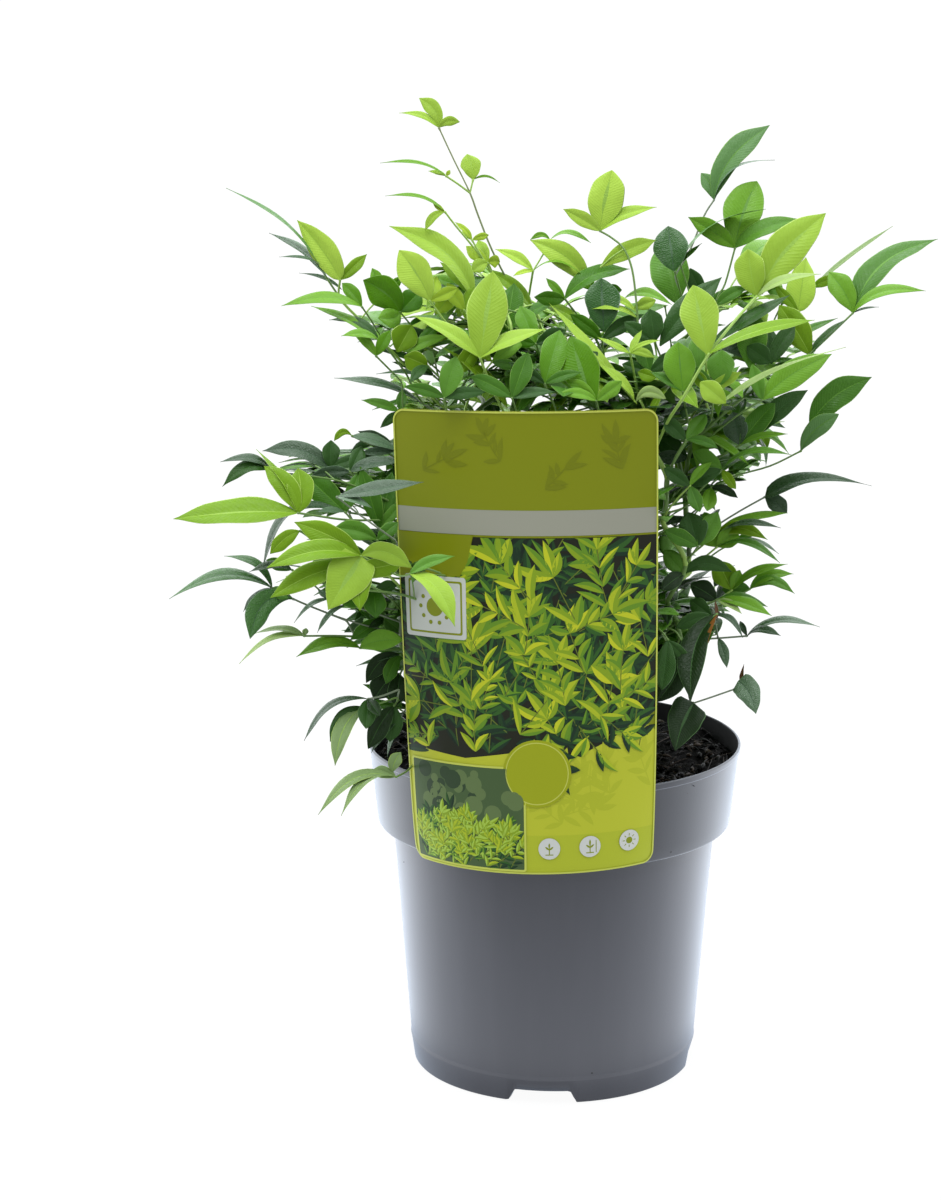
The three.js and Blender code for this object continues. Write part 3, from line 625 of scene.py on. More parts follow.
SPRAYS = [
    # tall young shoot
    ("sage", [(545, 380, 12), (537, 350, 8), (525, 310, 4), (510, 285, 2), (492, 250, -2), (478, 215, -3), (470, 193, -4), (453, 158, -4), (439, 128, -4)], [
        (419, 98, 4, 14, "lime", 0.16), (399, 113, 2, 6, "lime", 0.12), (460, 122, -2, 9, "lime", 0.18)]),
    ("lime", [(470, 193, -4), (458, 184, -5), (446, 176, -6)], [
        (380, 163, -4, 3.2, "spring", 0.09, "slim"), (428, 171, 0, 4, "lime", 0.05), (450, 170, 0, 4, "young", 0.0)]),
    ("lime", [(470, 193, -4), (473, 180, -3)], [
        (467, 154, 3, 19, "lime", 0.06), (500, 183, 6, 2.6, "spring", 0.16, "slim")]),
    ("lime", [(500, 290, -6), (487, 265, -8), (470, 243, -10), (455, 225, -12), (445, 212, -13)], [
        (385, 196, -6, 3.6, "spring", 0.13, "slim"), (433, 203, 0, 5, "young", 0.0), (425, 231, -3, 8, "lime", 0.16)]),
    ("lime", [(480, 254, -9), (472, 240, -9)], [
        (455, 222, -3, 6, "young", 0.05), (489, 235, 2, 7, "young", 0.05), (462, 229, 4, 6, "lime", 0.0)]),
    ("lime", [(500, 290, -6), (494, 276, -7), (488, 263, -8)], [
        (466, 246, 4, 12, "young", 0.0), (500, 262, 2, 12, "young", 0.12), (478, 240, 4, 12, "lime", 0.0), (472, 272, -4, 13, "lime", 0.08)]),
    # between the fronds
    ("lime", [(476, 384, -20), (484, 372, -24), (492, 362, -26)], [
        (526, 336, 4, 14, "spring", 0.0), (470, 340, 2, 12, "bright", 0.0), (518, 366, -4, 10, "green", 0.0)]),
    ("green", [(545, 372, -16), (540, 356, -20), (536, 344, -22)], [
        (520, 306, 2, 20, "mid", 0.0), (566, 330, 2, 16, "dark", 0.0), (505, 338, -4, 12, "green", 0.0)]),
    ("green", [(575, 400, -20), (570, 384, -24), (566, 372, -26)], [
        (545, 340, 2, 20, "green", 0.0), (598, 352, 2, 16, "dark", 0.0), (540, 372, -4, 12, "mid", 0.0)]),
    ("green", [(655, 400, -12), (652, 384, -16), (650, 372, -18)], [
        (640, 338, 2, 18, "green", 0.0), (676, 352, 2, 14, "dark", 0.0), (622, 364, -4, 12, "dark", 0.0)]),
    ("lime", [(690, 420, -20), (700, 404, -26), (708, 392, -30)], [
        (742, 372, 2, 12, "lime", 0.03), (694, 370, -2, 12, "bright", 0.0), (736, 398, -6, 9, "spring", 0.04)]),
    ("green", [(590, 318, 8), (594, 300, 8), (598, 290, 8)], [
        (572, 272, 2, 12, "mid", 0.0), (622, 290, 2, 12, "green", 0.0)]),
    ("green", [(700, 330, 12), (702, 316, 12), (706, 306, 12)], [
        (690, 268, 2, 16, "dark", 0.0), (734, 292, 2, 14, "green", 0.0)]),
    ("green", [(770, 330, 10), (776, 316, 10), (782, 304, 10)], [
        (770, 278, 2, 14, "mid", 0.0), (806, 290, 2, 12, "green", 0.0)]),
    ("lime", [(360, 320, -10), (372, 306, -8), (384, 296, -6)], [
        (372, 268, 2, 12, "spring", 0.0), (402, 276, 2, 10, "mid", 0.0)]),
    ("green", [(400, 380, -20), (386, 366, -24), (376, 356, -26)], [
        (352, 330, -4, 9, "spring", 0.05), (390, 330, 2, 12, "mid", 0.0)]),
    # left of the centre
    ("lime", [(510, 330, -10), (490, 310, -12), (472, 295, -14)], [
        (389, 226, -8, 20, "lime", 0.14, "ovate"), (440, 262, 6, 12, "lime", 0.04), (458, 285, 3, 20, "young", 0.0, (436, 314, 0))]),
    ("lime", [(470, 350, -20), (448, 325, -22), (430, 301, -24)], [
        (399, 250, -4, 31, "lemon", 0.05), (437, 276, 6, 14, "young", 0.0), (458, 288, 4, 12, "young", 0.0)]),
    ("lime", [(480, 330, -16), (464, 310, -18)], [
        (447, 283, -4, 14, "young", 0.0), (474, 287, 4, 12, "bright", 0.0)]),
    # upper left frond
    ("lime", [(440, 405, 0), (400, 360, -6), (385, 345, -8), (360, 320, -10), (340, 298, -12), (340, 280, -14)], [
        (297, 220, -6, 25, "lemon", 0.04, "ovate"), (367, 254, 3, 12, "bright", 0.0)], 5),
    ("green", [(340, 298, -12), (328, 280, -13), (318, 263, -14)], [
        (226, 188, -8, 2.6, "grey2", 0.06, "slim"), (269, 233, -12, 8, "grey", 0.07, (326, 276, 0)), (279, 257, -14, 3, "grey", 0.07, "slim"), (299, 273, -14, 4, "grey", 0.07, (342, 290, 2), "slim")]),
    ("green", [(385, 345, -8), (372, 322, -16), (362, 307, -20)], [
        (281, 306, -10, 9, "spring", 0.09), (342, 283, 2, 13, "mid", 0.04)]),
    ("green", [(405, 372, -14), (390, 352, -20), (378, 339, -24)], [
        (311, 306, -8, 9, "spring", 0.04, (384, 344, 0)), (329, 320, -14, 8, "dark", 0.16), (341, 336, -18, 9, "spring", 0.08)]),
    ("green", [(430, 345, 0), (412, 326, -4), (400, 312, -6)], [
        (363, 280, -3, 30, "mid", 0.10), (420, 291, 4, 22, "green", 0.0), (378, 318, -14, 20, "spring", -0.1)]),
    ("green", [(440, 372, -10), (424, 358, -14), (414, 350, -16)], [
        (412, 325, -4, 26, "bright", 0.0, (397, 352, 0)), (444, 320, 4, 11, "green", 0.0), (449, 336, -8, 11, "spring", 0.05, (404, 352, 2))]),
    ("green", [(462, 400, -20), (440, 378, -22), (428, 366, -24)], [
        (404, 356, -6, 20, "bright", 0.0), (410, 383, -14, 10, "dark", 0.05), (440, 346, 2, 12, "bright", 0.05, (507, 408, -8)), (476, 346, 2, 18, "bright", 0.0, (457, 374, 0))]),
    # centre, over the label
    ("lime", [(505, 415, -30), (492, 388, -36), (480, 358, -42)], [
        (493, 271, 2, 38, "lime", 0.0), (414, 316, -8, 16, "lime", 0.05), (546, 329, 4, 13, "lime", 0.05)], 4),
    ("green", [(520, 370, -5), (512, 348, -8), (506, 332, -10)], [
        (514, 283, 3, 24, "green", 0.0), (562, 298, 4, 13, "green", 0.05), (476, 318, -4, 13, "green", 0.04)]),
    ("lime", [(548, 345, 5), (540, 325, 2), (533, 310, 0)], [
        (485, 268, -6, 11, "bright", 0.05), (560, 290, 4, 10, "green", 0.0)]),
    ("lime", [(530, 330, 6), (528, 305, 4), (533, 271, 0)], [
        (495, 249, -5, 10, "lemon", 0.08), (583, 275, -4, 3, "spring", 0.2), (513, 276, -6, 5, "young", 0.05)]),
    ("lime", [(533, 271, 0), (545, 251, 3), (550, 240, 4)], [
        (530, 240, -2, 5, "spring", 0.25), (591, 243, -3, 4, "spring", 0.2)]),
    ("lime", [(615, 330, 5), (600, 300, 2), (585, 278, 0)], [
        (530, 240, -3, 24, "lemon", 0.10, "ovate")]),
    ("green", [(637, 380, -16), (638, 330, -14), (636, 299, -12), (632, 269, -10), (624, 249, -8), (612, 238, -6), (600, 231, -4)], [
        (612, 170, 2, 34, "lemon", 0.02), (563, 209, -4, 14, "lemon", 0.03), (657, 207, -3, 11, "lime", 0.08)]),
    ("lime", [(624, 249, -8), (612, 257, -8), (601, 267, -8)], [
        (656, 240, 2, 17, "lime", 0.05)]),
    ("green", [(590, 330, 0), (575, 312, -4), (565, 299, -6)], [
        (630, 269, 0, 15, "green", 0.13), (534, 297, -8, 14, "green", 0.0), (546, 278, 2, 8, "mid", 0.0)]),
    ("green", [(606, 372, -5), (604, 355, -10), (602, 340, -12)], [
        (601, 278, 2, 33, "blue2", 0.0, (604, 332, 0)), (644, 314, 2, 14, "dark", 0.04), (570, 314, -4, 14, "green", 0.04)]),
    ("lime", [(655, 345, 4), (650, 322, 0), (648, 306, -4)], [
        (588, 296, -8, 7, "lime", 0.12, (636, 312, -10)), (656, 300, 2, 12, "lime", 0.0, (634, 308, -12)), (592, 309, -8, 6, "lime", 0.12, (637, 318, -10))]),
    ("lime", [(610, 340, 0), (602, 322, 0), (597, 306, -2)], [
        (672, 305, -6, 9, "spring", 0.16, (625, 298, 4)), (612, 318, 0, 5, "lime", 0.0), (655, 312, 0, 4, "lime", 0.0, (637, 342, -14))]),
    ("green", [(605, 430, -25), (600, 415, -32), (596, 401, -38)], [
        (571, 336, 2, 36, "mid", -0.04), (622, 381, 2, 14, "spring", 0.0), (560, 381, -8, 12, "spring", 0.10), (557, 394, -8, 10, "spring", 0.08)], 3),
    ("lime", [(650, 425, -25), (646, 412, -28), (640, 401, -30)], [
        (549, 303, 4, 8, "lime", -0.05, (637, 404, 0), "slim"), (666, 399, -4, 11, "pale", 0.28, (636, 402, 0)), (598, 364, -4, 9, "lime", 0.06, (634, 398, 0))]),
    ("lime", [(636, 385, -20), (633, 368, -22), (630, 353, -24)], [
        (597, 337, -4, 6, "lime", -0.06), (661, 340, 0, 5, "lime", 0.08), (642, 330, 2, 6, "lime", 0.0), (655, 358, -4, 8, "lime", 0.10), (656, 378, -6, 12, "bright", 0.0, (638, 372, 0))]),
    ("green", [(560, 420, -30), (552, 400, -34), (545, 384, -36)], [
        (560, 330, 2, 26, "mid", 0.0), (508, 362, -6, 12, "dark", 0.03), (582, 372, 2, 10, "green", 0.04)]),
    ("green", [(520, 425, -40), (516, 410, -44), (512, 398, -46)], [
        (470, 376, -6, 16, "green", 0.04), (528, 352, 2, 20, "green", 0.0), (556, 392, 2, 10, "dark", 0.05)]),
    ("green", [(450, 420, -44), (446, 408, -46), (444, 398, -48)], [
        (456, 356, 0, 22, "mid", 0.0), (404, 386, -4, 12, "green", 0.05), (486, 392, 0, 12, "dark", 0.05)]),
    # upper right
    ("green", [(690, 330, 10), (682, 298, 6), (675, 272, 2)], [
        (668, 226, 2, 32, "blue2", 0.0, (674, 271, -2))]),
    ("green", [(672, 350, 14), (668, 325, 12), (665, 306, 10)], [
        (664, 240, 3, 37, "mid", 0.0, (677, 304, 0))]),
    ("grey", [(676, 274, 8), (690, 250, 12), (704, 216, 16), (714, 200, 18)], [
        (770, 125, 4, 23, "grey2", 0.10), (701, 173, -2, 14, "grey2", 0.10), (775, 160, -3, 3, "grey", 0.20)]),
    ("green", [(700, 330, 5), (690, 295, 4), (680, 263, 4)], [
        (766, 209, -4, 4, "grey2", 0.12), (702, 243, 0, 5, "green", 0.0)]),
    ("green", [(712, 345, 4), (717, 300, 5), (725, 284, 6), (735, 248, 8)], [
        (757, 181, 2, 36, "spring", 0.04), (688, 217, -5, 18, "spring", 0.03), (801, 219, -4, 15, "mid", 0.08)]),
    ("lime", [(655, 450, -28), (668, 421, -36), (683, 398, -41), (709, 354, -38), (733, 323, -32), (757, 296, -24)], [
        (748, 249, 2, 29, "lime", -0.03), (826, 213, 2, 36, "lime", 0.06), (821, 274, -6, 9, "pale", 0.08)], 12),
    ("lime", [(683, 398, -41), (698, 372, -42), (709, 354, -42)], [
        (815, 320, -6, 9, "bright", 0.04)]),
    ("lime", [(706, 392, -20), (706, 370, -28), (706, 350, -32)], [
        (693, 285, 2, 36, "lime", 0.0, (708, 355, -14)), (747, 287, 4, 12, "green", 0.06, (716, 306, 10))]),
    ("green", [(690, 430, -26), (686, 410, -30), (683, 392, -33)], [
        (678, 342, 2, 31, "spring", 0.0), (650, 372, -4, 10, "green", 0.04), (700, 382, 2, 20, "lime", 0.0, (726, 403, -22)), (696, 335, 2, 18, "mid", 0.0, (699, 372, 6))]),
    ("green", [(712, 415, -26), (713, 400, -28), (713, 388, -30)], [
        (722, 350, 2, 26, "mid", 0.0, (720, 386, 0)), (740, 366, 3, 8, "mid", 0.0), (690, 364, -2, 8, "green", 0.0)]),
    ("green", [(668, 372, -12), (660, 355, -16), (655, 342, -18)], [
        (650, 309, 2, 22, "dark", 0.0), (722, 277, 3, 25, "dark", 0.03, (660, 346, 0)), (624, 322, -2, 14, "dark", 0.0)]),
    ("green", [(752, 398, -8), (754, 384, -12), (755, 372, -14)], [
        (754, 312, 3, 29, "mid", 0.0, (749, 368, 0)), (795, 326, 2, 17, "dark", 0.04, (771, 364, 0)), (747, 346, -3, 20, "dark", 0.0, (771, 363, 0))]),
    ("green", [(728, 370, -8), (722, 356, -8), (716, 345, -8)], [
        (790, 295, 2, 11, "dark", -0.04, (712, 343, -14)), (772, 362, -6, 16, "blue", 0.04)]),
    # right
    ("green", [(700, 435, -14), (740, 400, -10), (790, 368, -8), (812, 352, -8), (853, 313, -6)], [
        (938, 239, 4, 21, "green", 0.13), (829, 272, 2, 23, "spring", 0.06), (926, 291, -10, 9, "spring", 0.14), (879, 307, -3, 3, "grey", 0.05)]),
    ("green", [(812, 352, -8), (810, 355, -8)], [
        (779, 305, 0, 26, "bright", 0.02), (848, 318, -3, 8, "dark", 0.03)]),
    ("green", [(745, 392, -8), (758, 374, -6), (770, 362, -5)], [
        (838, 318, 0, 7, "green", 0.06), (806, 366, -8, 5, "green", 0.08), (768, 326, 4, 16, "dark", 0.0)]),
    ("lime", [(790, 330, 8), (802, 305, 10), (812, 288, 12)], [
        (893, 226, -2, 3.4, "soft", -0.03, "slim"), (838, 278, -4, 10, "bright", 0.06)]),
    ("lime", [(780, 350, 4), (790, 330, 6), (798, 312, 6)], [
        (806, 257, 3, 27, "lemon", 0.0, "ovate"), (774, 284, -3, 10, "bright", 0.0)]),
    ("green", [(712, 435, -20), (738, 415, -22), (762, 400, -24)], [
        (832, 354, 3, 25, "spring", 0.05), (846, 347, -8, 8, "pale", 0.03, (718, 406, -18)), (752, 364, 2, 14, "mid", 0.0)]),
    ("green", [(690, 500, -16), (730, 478, -14), (770, 466, -12), (801, 451, -10)], [
        (872, 377, 3, 27, "green", 0.10, (810, 426, 8)), (839, 414, -6, 18, "grey2", 0.10)]),
    ("green", [(700, 470, -20), (722, 455, -20), (740, 445, -20)], [
        (775, 403, 2, 21, "green", 0.03), (733, 412, 2, 24, "blue", 0.0), (788, 434, -6, 6, "spring", 0.06)]),
    ("green", [(686, 506, -34), (704, 486, -36), (722, 470, -37)], [
        (693, 452, 2, 15, "mid", 0.06), (792, 455, -6, 6, "mid", 0.14), (689, 486, -2, 15, "dark", 0.05), (736, 489, -8, 10, "bright", 0.0)]),
    ("green", [(668, 476, -34), (676, 456, -38), (686, 440, -40)], [
        (664, 418, 2, 15, "dark", 0.0), (706, 414, 2, 15, "mid", 0.0), (718, 448, -4, 9, "green", 0.06)]),
    ("green", [(684, 478, -10), (687, 467, -10), (688, 459, -10)], [
        (658, 437, 2, 21, "dark", 0.0), (655, 457, -3, 14, "blue", 0.03), (708, 440, 2, 12, "deep", 0.0)]),
    ("green", [(700, 506, -24), (706, 497, -26), (711, 488, -27)], [
        (738, 498, -3, 9, "deep", 0.12), (707, 511, -8, 15, "spring", 0.0), (690, 479, 2, 12, "dark", 0.0)]),
    ("lime", [(664, 516, -38), (676, 500, -42), (690, 486, -44)], [
        (664, 468, 2, 14, "dark", 0.0), (712, 462, 2, 9, "spring", 0.05), (700, 512, -6, 14, "green", 0.0)]),
    ("green", [(715, 460, -14), (738, 446, -14), (757, 436, -14)], [
        (808, 390, 3, 19, "dark", 0.06), (789, 454, -8, 5, "mid", 0.14), (766, 466, -8, 5, "dark", 0.06)]),
    ("grey", [(690, 548, -20), (715, 527, -18), (740, 511, -14), (765, 497, -12)], [
        (872, 486, -4, 14, "blue", 0.12, "broad"), (787, 513, -6, 17, "blue", 0.06)]),
    ("lime", [(690, 556, -24), (703, 545, -24), (715, 536, -24)], [
        (768, 540, -4, 13, "bright", 0.16), (788, 513, 2, 8, "spring", 0.06), (781, 528, -6, 5, "blue", 0.12), (704, 512, 3, 14, "mid", 0.0)]),
    ("lime", [(690, 572, -30), (704, 558, -30), (717, 547, -30)], [
        (702, 526, 2, 20, "spring", 0.0), (738, 530, 2, 20, "spring", 0.02), (780, 563, -10, 5, "green", 0.16)]),
    ("green", [(688, 560, -34), (694, 552, -36), (698, 546, -38)], [
        (688, 512, 2, 28, "dark", 0.0), (718, 512, 2, 20, "mid", 0.0), (664, 530, -4, 16, "green", 0.0)]),
    # lower right
    ("green", [(668, 600, -30), (676, 586, -32), (684, 574, -34)], [
        (732, 572, 4, 15, "dark", 0.20), (664, 550, -3, 18, "mid", 0.0), (662, 590, -8, 16, "deep", 0.04)]),
    ("green", [(706, 560, -22), (720, 550, -20), (732, 544, -18)], [
        (779, 554, -5, 4, "grey", 0.14), (760, 532, 2, 6, "mid", 0.04)]),
    ("lime", [(706, 604, -18), (720, 598, -16), (732, 590, -15)], [
        (788, 564, -2, 8, "spring", 0.10), (718, 561, 2, 24, "bright", 0.0), (740, 570, 0, 12, "spring", 0.0)]),
    ("green", [(700, 612, -22), (726, 603, -18), (750, 589, -14)], [
        (794, 574, 0, 10, "spring", 0.16), (795, 594, -6, 11, "mid", 0.22), (722, 590, 2, 16, "green", 0.06)]),
    ("green", [(680, 620, -28), (700, 608, -26), (716, 600, -24)], [
        (768, 607, -4, 8, "green", 0.10), (772, 616, -10, 10, "spring", 0.06), (690, 584, 0, 20, "deep", 0.04), (742, 614, -12, 8, "pale", 0.06)]),
    ("grey", [(690, 640, -20), (721, 638, -17), (747, 636, -15)], [
        (820, 627, -3, 7, "grey", 0.14), (781, 636, -8, 7, "blue", 0.16), (740, 621, 3, 6, "blue", 0.0)]),
    ("green", [(668, 656, -38), (690, 636, -36), (712, 616, -34)], [
        (743, 638, -6, 6, "blue", 0.22), (676, 628, -4, 14, "dark", 0.06), (690, 600, 4, 16, "dark", 0.0)]),
    ("green", [(690, 640, -48), (706, 622, -45), (717, 614, -42)], [
        (691, 701, -8, 27, "deep", 0.10, (0.0, 0.36, -1, SCORCH)), (715, 600, 0, 3, "brown", 0.0, (717, 620, 0))]),
    ("grey", [(712, 610, -36), (716, 625, -34), (718, 638, -32)], [
        (727, 668, -4, 10, "grey", 0.04)]),
    ("green", [(668, 628, -46), (676, 632, -48), (681, 640, -50)], [
        (657, 702, -6, 26, "deep", -0.12)]),
    ("green", [(660, 630, -56), (664, 634, -58), (668, 640, -58)], [
        (662, 690, -8, 20, "dark", 0.0), (690, 664, 0, 12, "dark", 0.0)]),
    ("grey", [(675, 655, -44), (686, 680, -44), (690, 700, -44), (694, 703, -46)], [
        (675, 751, -14, 35, "deep", 0.05, "heart")]),
    ("grey", [(694, 703, -46), (712, 697, -44), (735, 689, -42)], [
        (756, 714, -10, 24, "grey", 0.10, "heart", (738, 681, 0)), (744, 664, 0, 4, "brown", 0.0, (741, 684, 0))]),
    # left
    ("green", [(400, 520, -50), (350, 520, -66), (318, 516, -76), (298, 513, -80)], [
        (173, 519, -6, 25, "bright", 0.01), (264, 466, 4, 22, "bright", 0.10), (298, 468, 6, 26, "bright", -0.06), (256, 449, 10, 5, "bright", 0.04)]),
    ("blue", [(340, 500, -50), (300, 480, -56), (272, 470, -60)], [
        (220, 462, -6, 8, "blue", 0.16), (222, 487, -12, 13, "dark", 0.24)]),
    ("green", [(395, 490, -40), (360, 478, -44), (330, 468, -46)], [
        (262, 451, -4, 17, "blue", 0.16), (331, 440, 3, 17, "dark", 0.0), (380, 458, 4, 13, "dark", 0.04)]),
    ("green", [(420, 470, -30), (385, 452, -34), (352, 436, -36)], [
        (334, 441, -4, 7, "bright", 0.30), (402, 452, 4, 10, "grey", 0.04)]),
    ("green", [(430, 480, -36), (412, 465, -36), (395, 451, -36)], [
        (358, 431, 2, 14, "deep", 0.03), (360, 453, -6, 9, "grey", 0.0), (404, 430, 2, 12, "dark", 0.0)]),
    ("grey", [(460, 430, -10), (440, 414, -10), (420, 402, -10)], [
        (334, 378, -5, 6, "grey", 0.05), (372, 410, -10, 6, "green", 0.04)]),
    ("green", [(450, 440, -16), (425, 425, -18), (400, 412, -20)], [
        (361, 400, -3, 9, "mid", 0.03), (380, 428, -8, 9, "dark", 0.03), (402, 390, 4, 10, "green", 0.0)]),
    ("green", [(470, 408, 0), (450, 390, -4), (434, 376, -6)], [
        (366, 347, -4, 7, "dark", 0.06), (392, 362, 4, 8, "dark", 0.03), (376, 374, -8, 6, "grey", 0.03)]),
    ("green", [(400, 520, -46), (372, 492, -52), (350, 472, -54)], [
        (310, 476, -6, 12, "blue", 0.06), (402, 462, 3, 12, "blue", 0.08), (362, 446, 4, 14, "dark", 0.0)]),
    ("green", [(390, 560, -50), (365, 535, -58), (345, 512, -62)], [
        (304, 474, -4, 26, "green", 0.0), (262, 572, -10, 10, "blue", 0.30), (360, 470, 4, 14, "green", 0.0), (316, 512, -10, 6, "grey", 0.05)]),
    ("green", [(400, 560, -50), (392, 540, -54), (380, 528, -56)], [
        (360, 466, -3, 20, "green", 0.0), (392, 472, 4, 20, "green", 0.0), (404, 500, 4, 12, "mid", 0.0)]),
    ("green", [(398, 570, -48), (388, 554, -66), (377, 540, -70)], [
        (334, 528, -3, 19, "mid", 0.08), (398, 522, 4, 14, "green", 0.0)]),
    ("blue", [(395, 540, -88), (360, 515, -98), (337, 497, -104)], [
        (424, 482, -6, 12, "blue", -0.05), (372, 508, -8, 8, "grey", 0.05)]),
    ("lime", [(407, 594, -44), (388, 575, -84), (372, 562, -94), (361, 556, -97)], [
        (266, 568, -2, 19, "bright", 0.10), (328, 610, -12, 44, "lime", 0.0, "heart"), (412, 568, -6, 20, "lime", 0.17), (294, 522, 6, 24, "bright", 0.05)]),
    ("lime", [(372, 562, -94), (364, 562, -96), (356, 566, -98)], [
        (360, 611, -8, 26, "bright", 0.0, "heart"), (270, 598, -4, 24, "bright", 0.06), (405, 560, 2, 20, "bright", -0.08)]),
    ("green", [(345, 560, -86), (320, 545, -88), (300, 531, -90)], [
        (270, 554, -6, 15, "bright", 0.08)]),
    ("green", [(361, 556, -97), (384, 569, -95), (400, 576, -104), (410, 574, -114)], [
        (455, 627, -6, 19, "lime", 0.16), (455, 556, 0, 11, "mid", 0.06)]),
    ("blue", [(345, 620, -50), (300, 602, -60), (272, 588, -66)], [
        (169, 599, -6, 13, "jade", 0.17), (224, 556, 4, 8, "jade", 0.20), (243, 612, -8, 6, "blue", 0.08), (288, 598, -8, 12, "green", 0.0)]),
    ("green", [(330, 600, -56), (308, 580, -62), (292, 570, -66)], [
        (249, 572, -3, 8, "blue", 0.12), (266, 560, 3, 12, "green", 0.0)]),
    ("blue", [(400, 634, -50), (357, 623, -56), (322, 611, -62), (293, 599, -68)], [
        (250, 639, -12, 24, "jade", 0.24), (276, 590, -4, 6, "grey", 0.0)]),
    ("blue", [(400, 610, -50), (360, 605, -58), (330, 599, -64)], [
        (294, 623, -6, 5, "grey", 0.12), (318, 590, 3, 6, "grey", 0.0)]),
    ("blue", [(400, 622, -52), (372, 612, -58), (348, 605, -62)], [
        (317, 633, -6, 5, "grey", 0.10), (338, 588, 4, 16, "green", 0.0)]),
    ("green", [(392, 600, -56), (382, 592, -60), (374, 590, -62)], [
        (338, 602, -4, 26, "green", 0.0), (376, 618, -8, 22, "green", 0.0), (398, 584, 3, 12, "dark", 0.0)]),
    ("green", [(398, 640, -50), (345, 636, -56), (304, 636, -60)], [
        (253, 634, -3, 8, "soft", 0.10), (306, 628, 3, 6, "soft", 0.0), (239, 664, -10, 7, "pale", 0.14)]),
    ("green", [(410, 648, -46), (385, 650, -52), (360, 648, -56)], [
        (296, 657, -6, 13, "spring", 0.14), (404, 640, -4, 20, "spring", 0.08)]),
    ("green", [(400, 600, -42), (392, 612, -46), (384, 618, -48)], [
        (350, 640, -6, 14, "green", 0.0), (402, 632, 0, 16, "green", 0.0), (368, 628, -8, 8, "deep", 0.0)]),
    ("green", [(420, 640, -44), (408, 650, -46), (400, 655, -48)], [
        (366, 683, -6, 18, "deep", 0.16), (356, 666, -3, 4, "grey", 0.0), (386, 684, -10, 14, "green", 0.06)]),
    ("green", [(412, 664, -44), (404, 668, -46), (400, 674, -48)], [
        (374, 700, -6, 24, "deep", 0.10), (396, 706, -8, 20, "deep", 0.0), (402, 700, -4, 10, "green", 0.0)]),
    # low left, hanging over the rim
    ("grey", [(398, 690, -70), (382, 696, -76), (368, 699, -80)], [
        (304, 741, -6, 5, "blue", 0.18), (366, 729, -8, 18, "dark", 0.0), (380, 716, -10, 12, "deep", 0.0)]),
    ("green", [(395, 698, -68), (378, 704, -74), (363, 707, -78)], [
        (330, 742, -6, 13, "dark", 0.14), (335, 766, -12, 16, "soft", 0.12)]),
    ("green", [(405, 690, -50), (400, 698, -54), (394, 706, -58)], [
        (368, 749, -8, 20, "deep", 0.04), (390, 742, -8, 22, "dark", 0.0)]),
    ("blue", [(412, 700, -46), (408, 706, -50), (404, 712, -54)], [
        (371, 753, -8, 9, "blue", 0.03), (387, 757, -10, 7, "grey", 0.03)]),
    ("green", [(425, 750, -48), (415, 762, -60), (407, 771, -75), (396, 777, -94)], [
        (318, 815, -8, 11, "soft", 0.18), (341, 816, -12, 9, "soft", 0.18), (372, 770, 0, 12, "soft", 0.05), (401, 752, 2, 13, "soft", 0.1, (393, 772, 0))]),
]

upper = Mesh()  # leaflets that show from the front
COMMON = 0.30  # width over length of a common leaflet
CELL = 4
DEPTH = np.full((1200 // CELL, 941 // CELL + 1), 1e9)  # the nearest leaflet set one by one, or label, at each place of the view


def seen(p):
    """Places in the view of points in mm."""
    d = np.atleast_2d(p) - CAM
    z = d @ FWD
    return 470.5 + FOCAL_PX * (d @ RIGHT) / z, 600 - FOCAL_PX * (d @ UP) / z


def note_depth(points):
    x, y = seen(points)
    i = np.clip((y / CELL).astype(int), 0, DEPTH.shape[0] - 1)
    j = np.clip((x / CELL).astype(int), 0, DEPTH.shape[1] - 1)
    np.minimum.at(DEPTH, (i, j), np.atleast_2d(points)[:, 1])


VIVID = {"green": "moss", "mid": "grass"}  # the younger growth high in the middle


